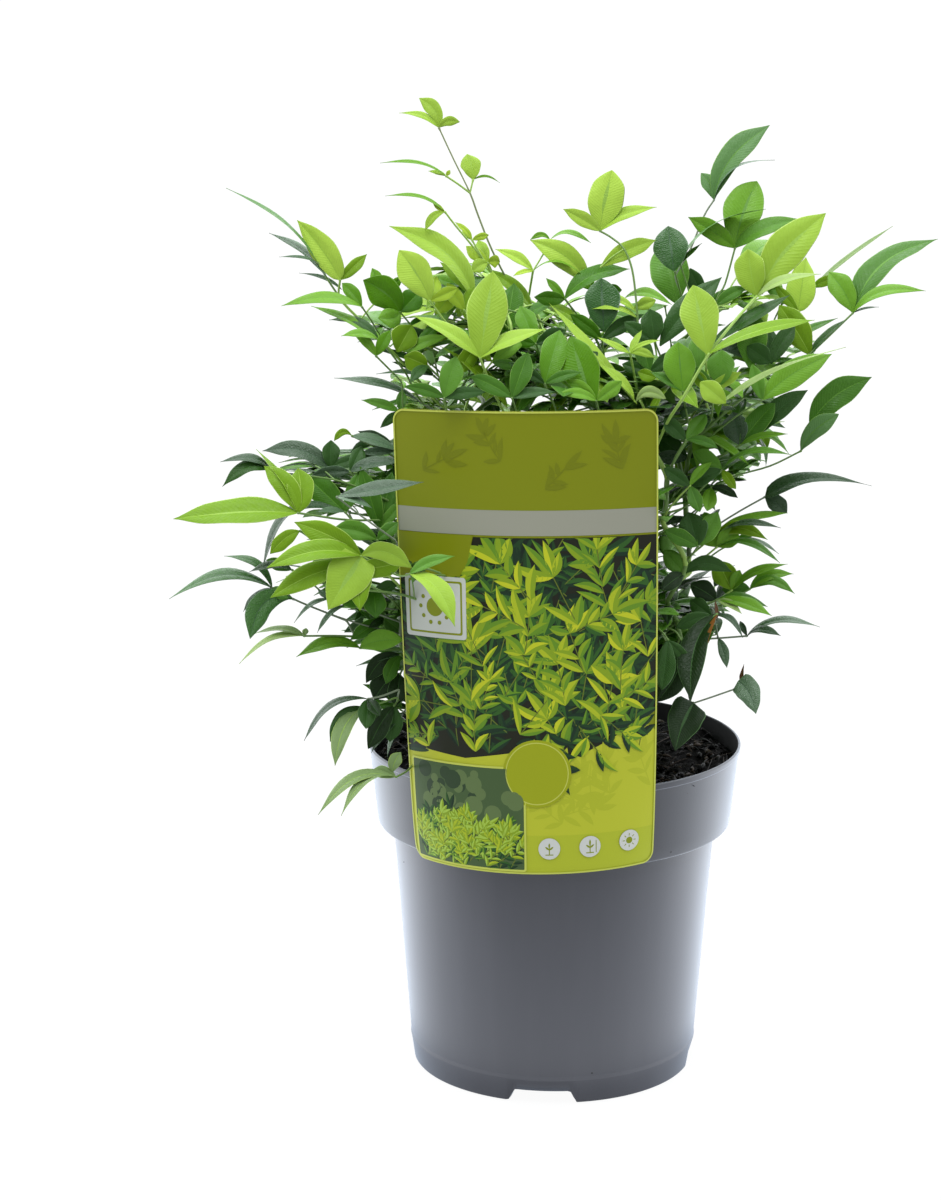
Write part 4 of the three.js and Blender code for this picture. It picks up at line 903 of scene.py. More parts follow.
def set_leaflet(mesh, node, row, seed):
    tx, ty, dy, w, tone, bow = row[:6]
    base = node
    heart = broad = ovate = False
    mark = None
    shows_under = slim = False
    for extra in row[6:]:
        if isinstance(extra, tuple) and len(extra) == 3:
            base = spot(extra[0], extra[1], node[1] + extra[2])
        elif isinstance(extra, tuple):
            mark = extra
        elif extra == "heart":
            heart = True
        elif extra == "under":
            shows_under = True
        elif extra == "broad":
            broad = True
        elif extra == "ovate":
            ovate = True
        elif extra == "slim":
            slim = True
    if ty < 350 and tx < 640:
        tone = VIVID.get(tone, tone)
    # a leaflet that points up leans back and one that hangs comes forward, each by its own measure
    bx, by = (float(q[0]) for q in seen(base))
    reach = math.hypot(tx - bx, ty - by)
    r = random.Random(seed * 31 + 7)
    lean = reach * px_mm(base[1]) * (0.3 * (by - ty) / (reach + 1e-6) + 0.5 * (r.random() - 0.5)) * (0.4 if heart else 1.0)
    if 385 < tx < 668 and ty > 405:
        lean = min(lean, 0.0) if base[1] < -78 else max(lean, 0.0)
    dy = dy + lean
    tip = spot(tx, ty, base[1] + dy)
    see = unit(CAM - (base + tip) / 2)
    u = unit(tip - base)
    n_face = see - u * see.dot(u)
    if (n_face[2] < 0.02) != shows_under:
        # it leans the other way, so that the side which shows is its top
        tip = spot(tx, ty, base[1] - dy if not shows_under else base[1] - abs(dy))
        u = unit(tip - base)
        n_face = see - u * see.dot(u)
    n_face = unit(n_face)
    a = tip - base
    length = np.linalg.norm(a)
    side = unit(np.cross(u, n_face))
    if side[2] < 0:
        side = -side
    shown = w * 1.06 * px_mm((base[1] + tip[1]) / 2)
    # the leaflet lies on its side in the view as far as the width that shows asks for
    real = max(shown, (0.10 if slim else COMMON if shown > 0.16 * length else 0.23) * length)
    cosr = min(1.0, shown / real)
    n = n_face * cosr * (-1 if shows_under else 1) + side * math.sqrt(1 - cosr * cosr)
    if n[2] < 0 and not shows_under:
        n = -n
    bend = side * bow * length * (1.0 if cosr > 0.85 else 0.55)
    rec = 0.05 if cosr > 0.85 else 0.03 + abs(bow) * 0.45
    r = random.Random(seed)
    fat = shown / length
    acute = 0.5
    if heart:
        e, p = 0.27, 0.80
    elif broad:
        e, p = 0.45, 1.7
    elif ovate:
        e, p = 0.58, 0.88
    elif fat > 0.36:
        e, p = 0.84 + 0.12 * r.random(), (0.74 if tx < 590 else 0.68) + 0.10 * r.random()
        acute = 0.45 if tx < 590 else 0.34
    elif fat > 0.26:
        e, p = 0.80 + 0.14 * r.random(), 0.82 + 0.14 * r.random()
    else:
        e, p = 0.76 + 0.12 * r.random(), 0.96 + 0.16 * r.random()
    mid, ss, half = leaflet(mesh, base, tip, n, real, tone, bow=bend, recurve=rec, fold=0.12 + 0.2 * r.random(), e=e, p=p,
                            flat=0.35 + 0.65 * min(1.0, cosr * 1.6), seed=seed, mark=mark, detail=FINE, acute=acute)
    for c in (-0.8, -0.4, 0, 0.4, 0.8):
        note_depth(mid + ss * (half * c)[:, None])
        m2 = (mid[1:] + mid[:-1]) / 2
        note_depth(m2 + ((ss[1:] + ss[:-1]) / 2) * ((half[1:] + half[:-1]) / 2 * c)[:, None])


def opened(x, y, d):
    """A place of a stalk in the view, with the depths of the crown's top drawn apart."""
    return spot(x, y, d * (1 + 0.6 * min(1.0, max(0.0, (470 - y) / 70))))


def place_key(p):
    return (p[0], p[1], p[2])


order = sorted(range(len(SPRAYS)), key=lambda i: abs(SPRAYS[i][1][0][0] - 525) * 0.6 - 0.4 * SPRAYS[i][1][0][1])
KNOWN = {}  # a place that a stalk passes through, and the limb that does
queue = list(order)
while queue:
    i = queue.pop(0)
    tone, pts, leaves = SPRAYS[i][:3]
    key = place_key(pts[0])
    if any(place_key(q) == key for j in queue for q in SPRAYS[j][1][1:]):
        queue.append(i)  # what it grows on from comes first
        continue
    line3 = [opened(*q) for q in pts]
    own = KNOWN.get(key)
    limb = lay(line3, tone, own)
    n = len(limb.line)
    tail = 4 * (len(pts) - 1)
    for k_, q in enumerate(pts):
        KNOWN.setdefault(place_key(q), (limb, n - 1 - tail + 4 * k_))
    limb.carry(n - 1, len(leaves) + (SPRAYS[i][3] if len(SPRAYS[i]) > 3 else 0))
    node = limb.line[-1]
    d = unit(node - limb.line[-2])
    # the little swelling where the leaflets meet
    tube(stalks, [node - d * 1.3, node, node + d * 0.5], [0.45, 0.68, 0.4], STALK_MATS[tone], 6)
    for j, row in enumerate(leaves):
        set_leaflet(upper, node, row, i * 17 + j)

# ------------------------------------------------------------------ seeded fronds

# The masses of the frame: azimuth, distance, height, half sizes (out, across, up), the tones that deal
# there, and the number of fronds that fill it.
MASSES = {
    "top_centre": (10, 22, 418, (27, 24, 22), "fresh", 2),
    "top_right": (10, 82, 441, (18, 17, 16), "fresh", 1),
    "upper_right": (4, 106, 406, (30, 27, 22), "fresh", 2),
    "far_right": (0, 142, 377, (25, 24, 18), "fresh", 1),
    "upper_left": (187, 118, 401, (28, 25, 21), "fresh", 1),
    "left_shoulder": (200, 66, 376, (36, 36, 30), "mixed", 5),
    "heart": (300, 18, 350, (48, 42, 34), "mixed", 9),
    "right_shoulder": (352, 80, 352, (38, 38, 28), "mixed", 6),
    "middle_left": (204, 122, 306, (38, 34, 26), "old", 4),
    "middle_right": (348, 104, 296, (38, 38, 26), "old", 6),
    "middle_front": (250, 34, 286, (52, 36, 38), "old", 5),
    "front_left": (226, 116, 258, (30, 30, 24), "mixed", 3),
    "front_right": (308, 120, 292, (32, 32, 26), "mixed", 4),
    "low_left": (198, 122, 246, (38, 32, 22), "old", 4),
    "hanging_left": (216, 112, 199, (24, 22, 17), "old", 2),
    "low_right": (342, 88, 238, (36, 36, 24), "old", 5),
    "hanging_right": (328, 84, 200, (20, 26, 14), "old", 1),
    "crest_back": (84, 34, 416, (34, 44, 22), "fresh", 5),
    "back_top": (112, 60, 390, (42, 42, 30), "fresh", 8),
    "back_left": (144, 108, 324, (42, 42, 30), "mixed", 8),
    "back_right": (42, 110, 330, (42, 42, 30), "mixed", 8),
    "back_middle": (92, 102, 292, (40, 44, 30), "mixed", 8),
    "back_low": (84, 84, 226, (36, 60, 22), "old", 9),
    "low_left_side": (160, 92, 222, (36, 34, 20), "old", 5),
    "low_right_side": (24, 96, 222, (36, 34, 20), "old", 5),
    "low_inside": (90, 20, 236, (40, 56, 26), "old", 5),
}
DEALS = {
    "fresh": ["lime", "bright", "spring", "spring", "mid", "bright"],
    "mixed": ["mid", "green", "spring", "green", "dark", "mid", "bright", "spring"],
    "old": ["dark", "green", "deep", "dark", "blue", "green", "mid", "green"],
}
# The crown's close outline in the view, and the gaps in it where the sky shows, as circles.
CROWN = np.array([
    (376, 742), (357, 716), (360, 655), (334, 646), (338, 604), (262, 588), (264, 560), (284, 520), (270, 468), (290, 446),
    (392, 440), (392, 398), (384, 372), (352, 340), (338, 296), (395, 284), (432, 262), (480, 262), (508, 280), (536, 298),
    (570, 298), (596, 282), (622, 290), (640, 300), (660, 252), (690, 290), (728, 290), (740, 232), (765, 216), (800, 228),
    (806, 296), (822, 340), (784, 446), (720, 505), (744, 542), (744, 594), (704, 655), (716, 728), (660, 742)], float)
GAPS = [(706, 263, 17), (642, 276, 11), (623, 285, 9), (384, 367, 9), (733, 281, 9), (707, 588, 9), (675, 693, 8), (704, 692, 7), (330, 522, 6),
        (368, 665, 7), (682, 675, 7), (580, 306, 6), (375, 658, 6), (362, 692, 7), (733, 371, 5), (305, 588, 6), (773, 336, 5), (709, 705, 6),
        (367, 353, 5), (350, 445, 5), (355, 518, 5), (341, 614, 5), (687, 649, 5), (776, 319, 4), (655, 285, 5), (538, 304, 4), (680, 478, 4)]
Z3 = np.array([0.0, 0.0, 1.0])


def in_crown(x, y):
    x1, y1 = CROWN[:, 0], CROWN[:, 1]
    x2, y2 = np.roll(x1, -1), np.roll(y1, -1)
    X, Y = np.asarray(x)[:, None], np.asarray(y)[:, None]
    cross = ((y1 > Y) != (y2 > Y)) & (X < (x2 - x1) * (Y - y1) / (y2 - y1 + 1e-9) + x1)
    return cross.sum(1) % 2 == 1


def room(points, strict=True):
    """Whether a leaflet through these points stays within the crown, behind what is set in front, and off the pot."""
    p = np.atleast_2d(points)
    x, y = seen(p)
    if strict:
        if not in_crown(x, y).all():
            return False
        for gx_, gy_, gr in GAPS:
            if (np.hypot(x - gx_, y - gy_) < gr).any():
                return False
    i = np.clip((y / CELL).astype(int), 0, DEPTH.shape[0] - 1)
    j = np.clip((x / CELL).astype(int), 0, DEPTH.shape[1] - 1)
    d = DEPTH[i, j]
    if (p[:, 1] < np.where(d < 1e8, d + 3.0, -1e9)).any():
        return False
    rad_ = np.hypot(p[:, 0], p[:, 1])
    if ((p[:, 2] < 180) & (rad_ < 104)).any() or (p[:, 2] < 150).any():
        return False
    # the box of the frame
    return bool((np.abs(p[:, 0]) < 184).all() and (np.abs(p[:, 1]) < 160).all() and (p[:, 2] < 488).all())


def turn(v, axis, ang):
    axis = unit(axis)
    return v * math.cos(ang) + np.cross(axis, v) * math.sin(ang) + axis * axis.dot(v) * (1 - math.cos(ang))


def sample_leaf(a, b, n, w):
    """Points over a leaflet, to test where it comes."""
    u = unit(b - a)
    s_ = np.cross(u, n)
    out = []
    for t, k in ((0.12, 0.4), (0.35, 0.9), (0.6, 0.9), (0.8, 0.5), (1.0, 0.0)):
        c = a + (b - a) * t + n * math.sin(math.pi * t) * 0.09 * np.linalg.norm(b - a)
        out.append(c)
        if k:
            out += [c + s_ * w * 0.5 * k, c - s_ * w * 0.5 * k]
    return np.array(out)


def trio(mesh, node, direction, up, size, tone, r, pair=True, strict=True):
    """A terminal leaflet and two side leaflets at the end of a stalk; tells how many found room."""
    direction = unit(direction)
    up = unit(up - direction * up.dot(direction))
    side = np.cross(direction, up)
    count = 0
    rows = [(0.0, 1.0), (0.95, 0.8), (-0.95, 0.8)] if pair else [(0.0, 1.0)]
    for ang, k in rows:
        for attempt in range(3):
            an = ang + (r.random() - 0.5) * (0.3 + 0.5 * attempt)
            d = turn(direction, up, an)
            droop = -0.10 - 0.35 * r.random() + 0.25 * attempt
            d = unit(d + Z3 * droop * (0.6 if ang == 0 else 1))
            length = size * k * (0.85 + 0.35 * r.random()) * (1 - 0.12 * attempt)
            width = length * (0.26 + 0.17 * r.random())
            n = unit(up + side * (r.random() - 0.5) * 0.9 + Z3 * 0.5)
            n = unit(n - d * n.dot(d))
            if not room(sample_leaf(node, node + d * length, n, width), strict):
                continue
            ripe = width / length > 0.37
            leaflet(mesh, node, node + d * length, n, width, tone, recurve=0.05 + 0.09 * r.random(), fold=0.12 + 0.24 * r.random(),
                    e=0.78 + 0.14 * r.random(), p=(0.74 if ripe else 0.90) + 0.16 * r.random(), seed=int(r.random() * 1e6))
            count += 1
            break
    return count


def frond(mesh, end, out, size, tones, r, stem="green", nodes=3, strict=True):
    """A compound leaf: a stalk with pairs of pinnae, each ending in a trio, and a trio at its tip."""
    tone = tones[int(r.random() * len(tones))]
    tones2 = (tone, tone, tones[int(r.random() * len(tones))])
    span = size * (1.3 + 0.5 * r.random())
    a = end - out * span - Z3 * span * 0.35
    keep = len(LIMBS)
    limb = lay([a, (a + end) / 2 + Z3 * span * 0.06, end], stem)
    n = len(limb.line)
    total = 0
    if strict:
        sx_, sy_ = seen(limb.line[n // 3:])
        if not in_crown(sx_, sy_).all():
            del LIMBS[keep:]
            return 0
    for k in range(nodes):
        f = (k + 0.4) / nodes
        i = int(n - 1 - 8 * (1 - f))
        p = limb.line[i]
        tan = unit(limb.line[min(n - 1, i + 1)] - limb.line[i - 1])
        up = unit(Z3 - tan * tan[2] + np.array([r.random() - 0.5, r.random() - 0.5, 0]) * 0.6)
        for sgn in (1, -1):
            if r.random() < 0.08:
                continue
            d = turn(tan, up, sgn * (0.85 + 0.35 * r.random()))
            d = unit(d + Z3 * (0.25 - 0.4 * r.random()))
            pl = size * (0.5 + 0.3 * r.random()) * (1 - 0.3 * k / max(1, nodes))
            q = p + d * pl
            m = p + d * pl * 0.5 + Z3 * pl * 0.05
            got = trio(mesh, q, d, up, size * (0.9 + 0.3 * r.random()), tones2[int(r.random() * 3)], r, strict=strict)
            if got:
                twig = Limb(catmull([p, m, q], 3), limb, i, stem)
                LIMBS.append(twig)
                twig.carry(len(twig.line) - 1, got)
                total += got
    tan = unit(limb.line[-1] - limb.line[-3])
    got = trio(mesh, limb.line[-1], tan, unit(Z3 + np.array([r.random() - 0.5, r.random() - 0.5, 0]) * 0.4), size * 1.1, tone, r, strict=strict)
    limb.carry(n - 1, got)
    total += got
    if total < 3:
        # too little found room: the bare stalk is taken away again
        del LIMBS[keep:]
    elif got == 0:
        # end the stalk at its last pair
        cut = int(n - 1 - 8 * (1 - (nodes - 0.6) / nodes)) + 1
        limb.line, limb.load = limb.line[:cut], limb.load[:cut]
    return total


def polar(az, out, z):
    return np.array([out * math.cos(math.radians(az)), out * math.sin(math.radians(az)), z])


# the label stands before what grows behind it
for zz_ in np.linspace(2, 218, 110):
    xx_ = np.linspace(-64, 64, 66)
    note_depth(stand(xx_, np.zeros(66) + 1.0, np.full(66, zz_)))

# The filling leaflets are joined by region, each region well under the count that one piece may have.
FILLS = {
    "inner": ("top_centre", "top_right", "upper_right", "far_right", "upper_left", "left_shoulder", "heart", "right_shoulder"),
    "low": ("middle_left", "middle_right", "middle_front", "front_left", "front_right", "low_left", "hanging_left", "low_right",
            "hanging_right", "low_inside"),
    "back": ("back_left", "back_right", "back_middle", "back_low"),
    "crest": ("crest_back", "back_top", "low_left_side", "low_right_side"),
}
fills = {key: Mesh() for key in FILLS}
OUTER = ("top_centre", "top_right", "upper_right", "far_right", "upper_left", "front_left", "front_right", "hanging_left", "hanging_right")
for mi, (name, (az, out, z, half, deal, count)) in enumerate(MASSES.items()):
    at = polar(az, out, z)
    radial = polar(az, 1, 0)
    across = np.array([-radial[1], radial[0], 0])
    mesh = next(fills[key] for key, names in FILLS.items() if name in names)
    r = random.Random(500 + mi)
    got_fronds = 0
    for k in range(count * 6):
        if got_fronds >= count:
            break
        a = 6.283 * (k * 0.618 + 0.1 * r.random())
        q = math.sqrt((k % count + 0.6) / count) * 0.85
        end = at + radial * half[0] * q * math.cos(a) + across * half[1] * q * math.sin(a) + Z3 * half[2] * (r.random() - 0.45) * 1.3
        if not room(end):
            continue
        flat = unit(np.array([end[0], end[1], 0]) + radial * 12 + np.array([r.random() - 0.5, r.random() - 0.5, 0]) * 60)
        size = 25 + 9 * r.random()
        if frond(mesh, end, flat, size, DEALS[deal], r, stem="lime" if deal == "fresh" else "green", nodes=3 if size > 28 else 2) >= 3:
            got_fronds += 1
draw_limbs(stalks)

# ------------------------------------------------------------------ stalk and cane materials


def stalk_material(name, rgb, rough=0.5):
    m = material(name, srgb(*rgb), rough)
    n = noise(m, 180.0, 3.0)
    bump(m, n.outputs["Fac"], 0.25, 0.0003)
    return m


STALK_SLOTS = [stalk_material("stalk_lime", (150, 184, 84)), stalk_material("stalk_green", (104, 136, 66)), stalk_material("stalk_grey", (116, 128, 104), 0.6), stalk_material("stalk_brown", (112, 84, 48), 0.7), stalk_material("stalk_sage", (132, 142, 100), 0.55)]

bark = material("cane_bark", srgb(96, 84, 50), 0.72)
nt, nodes, links, b = add_nodes(bark)
tc = nodes.new("ShaderNodeTexCoord")
mp = nodes.new("ShaderNodeMapping")
mp.inputs["Scale"].default_value = (420, 420, 36)
links.new(tc.outputs["Object"], mp.inputs["Vector"])
n1 = noise(bark, 1.0, 5.0, 0.6, mp.outputs["Vector"])
cr = ramp(bark, n1.outputs["Fac"], [(0.3, srgb(58, 46, 28)), (0.52, srgb(104, 92, 54)), (0.72, srgb(134, 128, 78))])
links.new(cr.outputs["Color"], b.inputs["Base Color"])
bump(bark, n1.outputs["Fac"], 0.7, 0.0006)
sheath = material("cane_sheath", srgb(100, 76, 52), 0.75)
n2 = noise(sheath, 300.0, 4.0)
bump(sheath, n2.outputs["Fac"], 0.5, 0.0005)

canes = Mesh()
for ci, c in enumerate(CANES):
    r = np.random.default_rng(90 + ci)
    zs = np.linspace(c[3] + 0.5, c[4], 70)
    line = np.array([cane_at(c, z) for z in zs])
    t = np.linspace(0, 1, len(zs))
    rad = 3.0 * (1 - t) + 1.7 * t
    # swellings with old leaf bases every 14 to 20 mm
    nodes_z = np.cumsum(13 + 7 * r.random(16)) + 166
    for nz in nodes_z:
        rad = rad + 0.45 * np.exp(-(((zs - nz) / 1.6) ** 2)) * (1 - 0.4 * t)
    ridge = r.random((1, 12)) * 0.35
    tube(canes, line, rad, 0, 12, relief=lambda n, s, ridge=ridge, r=r: ridge * np.ones((n, 1)) * 0.6 + (r.random((n, s)) - 0.5) * 0.22)
    for ni, nz in enumerate(nodes_z[:-1]):
        if nz > c[4] - 8:
            break
        # the clasping base of an old leaf stalk, cut short
        base = cane_at(c, nz)
        ang = 2.4 * ni + ci
        d = np.array([math.cos(ang), math.sin(ang), 0])
        l = 5 + 5 * r.random()
        rr = np.interp(nz, zs, rad)
        p0 = base + d * rr * 0.5
        p1 = base + d * (rr + 1.2) + Z3 * l * 0.5
        p2 = base + d * (rr + 2.2) + Z3 * l
        tube(canes, catmull([p0, p1, p2], 3), [1.7, 1.6, 1.45, 1.3, 1.15, 1.0, 0.8], 1, 7)

# ------------------------------------------------------------------ pot

POT_H, RIM_R, COLLAR_LOW_R, COLLAR_LOW_Z = 169.0, 95.0, 90.6, 127.7


def fillet(points, arc=4):
    """Rounds each corner of an outline by its own radius."""
    out = [np.array(points[0][:2], float)]
    for i in range(1, len(points) - 1):
        p = np.array(points[i][:2], float)
        r = points[i][2]
        a = np.array(points[i - 1][:2], float) - p
        b = np.array(points[i + 1][:2], float) - p
        la, lb = np.linalg.norm(a), np.linalg.norm(b)
        a, b = a / la, b / lb
        cosang = float(np.clip(a.dot(b), -1, 1))
        ang = math.acos(cosang)
        if r <= 0 or ang > 3.1:
            out.append(p)
            continue
        d = min(r / math.tan(ang / 2), 0.45 * la, 0.45 * lb)
        p0, p1 = p + a * d, p + b * d
        for k in range(arc + 1):
            t = k / arc
            out.append((1 - t) ** 2 * p0 + 2 * t * (1 - t) * p + t * t * p1)
    out.append(np.array(points[-1][:2], float))
    return np.array(out)


def subdivide(profile, longest):
    out = [profile[0]]
    for a, b in zip(profile[:-1], profile[1:]):
        n = max(1, int(np.linalg.norm(b - a) / longest))
        for k in range(1, n + 1):
            out.append(a + (b - a) * k / n)
    return np.array(out)


outline_pot = subdivide(fillet([
    (0, 7.0, 0), (64.8, 7.0, 1.0), (67.4, 1.2, 1.0), (67.9, 0.0, 0.4), (72.2, 0.0, 0.9), (74.0, 12.4, 1.2), (73.8, 14.4, 1.0),
    (82.5, 127.2, 1.6), (90.2, 128.0, 1.6), (94.3, 165.6, 0.4), (94.9, 166.2, 0.3), (95.1, 168.6, 0.5), (94.2, 169.2, 0.5), (93.6, 168.4, 0.6),
    (89.3, 130.2, 1.5), (81.3, 129.2, 1.2), (72.3, 9.4, 1.2), (0, 9.2, 0)]), 6.0)
SEG = 288
az = np.linspace(0, 2 * math.pi, SEG, endpoint=False)
rr = outline_pot[:, 0][:, None] * np.ones((1, SEG))
zz = outline_pot[:, 1][:, None] * np.ones((1, SEG))
# drain notches lift the standing ring
NOTCH_AT = math.radians(-93.9)
for k in range(4):
    da = (az - NOTCH_AT - k * math.pi / 2 + math.pi) % (2 * math.pi) - math.pi
    s = np.abs(da) * 70.0
    lift = 6.4 * np.clip((17.4 - s) / 4.2, 0, 1)
    lift = 6.4 * (3 * (lift / 6.4) ** 2 - 2 * (lift / 6.4) ** 3)
    ring = (outline_pot[:, 1] < 6.9)[:, None] & (outline_pot[:, 0] > 60)[:, None]
    zz = np.where(ring, np.maximum(zz, lift[None, :] + 0 * zz), zz)
pot_mesh = Mesh()
v = np.stack([rr * np.cos(az), rr * np.sin(az), zz], -1)
axis_rows = [0, len(outline_pot) - 1]
body = v[1:-1].reshape(-1, 3)
nr = len(outline_pot) - 2
i = np.arange(nr - 1)[:, None] * SEG
j = np.arange(SEG)[None, :]
k = (j + 1) % SEG
q = np.stack([i + j, i + k, i + SEG + k, i + SEG + j], -1).reshape(-1, 4)
inner_from = int(np.argmax(outline_pot[1:-1, 1] > 168.9)) + 4
matrow = np.repeat((np.arange(nr - 1) >= inner_from).astype(int), SEG)
pot_mesh.add(body, q, matrow, np.stack([np.tile(np.arange(SEG) / SEG, nr), np.repeat(np.linspace(0, 1, nr), SEG)], -1))
for row, zc, flip in ((0, outline_pot[0][1], True), (nr - 1, outline_pot[-1][1], False)):
    vv = np.vstack([body[row * SEG:(row + 1) * SEG], [[0, 0, zc]]])
    tri = np.stack([np.arange(SEG), (np.arange(SEG) + 1) % SEG, np.full(SEG, SEG)], -1)
    if flip:
        tri = tri[:, ::-1]
    pot_mesh.add(vv, tri, 0 if row == 0 else 1)
# moulding pips on the collar
for pxx, pyy, rr_ in ((698, 779, 0.55), (671, 852, 0.5), (404, 862, 0.4), (592, 1073, 0.6)):
    p = spot(pxx, pyy, -60)
    d = p - CAM
    # where the line of sight meets the wall
    for s in np.linspace(0.9, 1.1, 400):
        w = CAM + d * s
        r_wall = np.interp(w[2], [13, 127, 128, 169], [73.8, 82.6, 90.4, 95.0])
        if math.hypot(w[0], w[1]) <= r_wall:
            break
    out_ = unit(np.array([w[0], w[1], 0]))
    tube(pot_mesh, [w - out_ * 0.4, w + out_ * 0.15], [rr_, rr_ * 0.8], 2, 10)

pot_mat = material("pot_plastic", srgb(66, 69, 79), 0.40)
nt, nodes, links, b = add_nodes(pot_mat)
b.inputs["Specular IOR Level"].default_value = 0.5
b.inputs["Coat Weight"].default_value = 0.35
b.inputs["Coat Roughness"].default_value = 0.3
# a faint bluish bloom that shows along the edges
b.inputs["Sheen Weight"].default_value = 0.5
b.inputs["Sheen Roughness"].default_value = 0.4
b.inputs["Sheen Tint"].default_value = (0.62, 0.76, 1.0, 1)
tc = nodes.new("ShaderNodeTexCoord")
mp = nodes.new("ShaderNodeMapping")
mp.inputs["Scale"].default_value = (60, 60, 6)
links.new(tc.outputs["Object"], mp.inputs["Vector"])
streak = noise(pot_mat, 1.0, 4.0, 0.55, mp.outputs["Vector"])
cr = ramp(pot_mat, streak.outputs["Fac"], [(0.3, srgb(66, 67, 74)), (0.55, srgb(69, 70, 77)), (0.8, srgb(73, 74, 81))])
# painted shade and light: the collar's base colour is darkened, standing in for the crown's shade over it, and the
# body's is lightened a little as painted light
sepz = nodes.new("ShaderNodeSeparateXYZ")
links.new(tc.outputs["Object"], sepz.inputs[0])
collar_shade_body_light = nodes.new("ShaderNodeMapRange")
collar_shade_body_light.inputs["From Min"].default_value = 0.118
collar_shade_body_light.inputs["From Max"].default_value = 0.134
collar_shade_body_light.inputs["To Min"].default_value = 1.06
collar_shade_body_light.inputs["To Max"].default_value = 0.64
links.new(sepz.outputs["Z"], collar_shade_body_light.inputs["Value"])
shade = nodes.new("ShaderNodeVectorMath")
shade.operation = "SCALE"
links.new(cr.outputs["Color"], shade.inputs[0])
links.new(collar_shade_body_light.outputs["Result"], shade.inputs["Scale"])
links.new(shade.outputs["Vector"], b.inputs["Base Color"])
fine = noise(pot_mat, 900.0, 2.0)
bump(pot_mat, fine.outputs["Fac"], 0.12, 0.0002)
mr = nodes.new("ShaderNodeMapRange")
mr.inputs["To Min"].default_value = 0.36
mr.inputs["To Max"].default_value = 0.43
links.new(streak.outputs["Fac"], mr.inputs["Value"])
links.new(mr.outputs["Result"], b.inputs["Roughness"])
# painted shade: the inside of the pot gets a far darker base colour than the same plastic outside, standing in for the
# shade within it
pot_in = material("pot_inside_painted_shade", srgb(15, 15, 17), 0.62)
pot_in.node_tree.nodes["Principled BSDF"].inputs["Specular IOR Level"].default_value = 0.25
n3 = noise(pot_in, 120.0, 3.0)
bump(pot_in, n3.outputs["Fac"], 0.3, 0.0004)
pip = material("pot_pip", srgb(48, 48, 52), 0.5)
n4 = noise(pip, 500.0, 2.0)
bump(pip, n4.outputs["Fac"], 0.2, 0.0002)

# ------------------------------------------------------------------ compost

SOIL_Z = 161.0


def soil_height(x, y):
    h = 1.6 * (np.sin(x * 0.09 + 1) * np.cos(y * 0.11) + 0.5 * np.sin(x * 0.05 - y * 0.07))
    rs = np.random.default_rng(5)
    for f, amp in ((0.22, 0.9), (0.45, 0.6), (0.9, 0.45), (1.7, 0.3)):
        for _ in range(4):
            a, ph, ph2 = rs.random(3) * 6.28
            h = h + amp * 0.5 * np.sin(f * (x * math.cos(a) + y * math.sin(a)) + ph) * np.cos(f * 0.8 * (x * math.sin(a) - y * math.cos(a)) + ph2)
    return h


soil = Mesh()
rings = np.concatenate([np.linspace(2, 90.6, 74), [91.9, 92.0]])
sseg = 240
aa = np.linspace(0, 2 * math.pi, sseg, endpoint=False)
X = rings[:, None] * np.cos(aa)
Y = rings[:, None] * np.sin(aa)
rs = np.random.default_rng(8)
Hh = SOIL_Z + soil_height(X, Y) + (rs.random(X.shape) - 0.5) * 0.55
Hh -= 2.2 * np.clip((rings[:, None] - 84) / 8, 0, 1)
Hh[-1, :] = 158.5
v = np.stack([X, Y, Hh], -1).reshape(-1, 3)
low = np.array([[0, 0, SOIL_Z + float(soil_height(0.0, 0.0))]])
i = np.arange(len(rings) - 1)[:, None] * sseg
j = np.arange(sseg)[None, :]
k = (j + 1) % sseg
q = np.stack([i + j, i + sseg + j, i + sseg + k, i + k], -1).reshape(-1, 4)
soil.add(v, q, 0)
soil.add(np.vstack([v[:sseg], low]), np.stack([np.full(sseg, sseg), np.arange(sseg), (np.arange(sseg) + 1) % sseg], -1), 0)
# the root ball's side and underside, inside the pot
side_r = np.array([[92.0, 158.5], [88.9, 131.0], [80.6, 128.0], [71.6, 9.6], [0.01, 9.6]])
sv = np.stack([side_r[:, 0][:, None] * np.cos(aa), side_r[:, 0][:, None] * np.sin(aa), side_r[:, 1][:, None] + 0 * aa], -1).reshape(-1, 3)
i = np.arange(len(side_r) - 1)[:, None] * sseg
q = np.stack([i + j, i + sseg + j, i + sseg + k, i + k], -1).reshape(-1, 4)
soil.add(sv, q, 0)
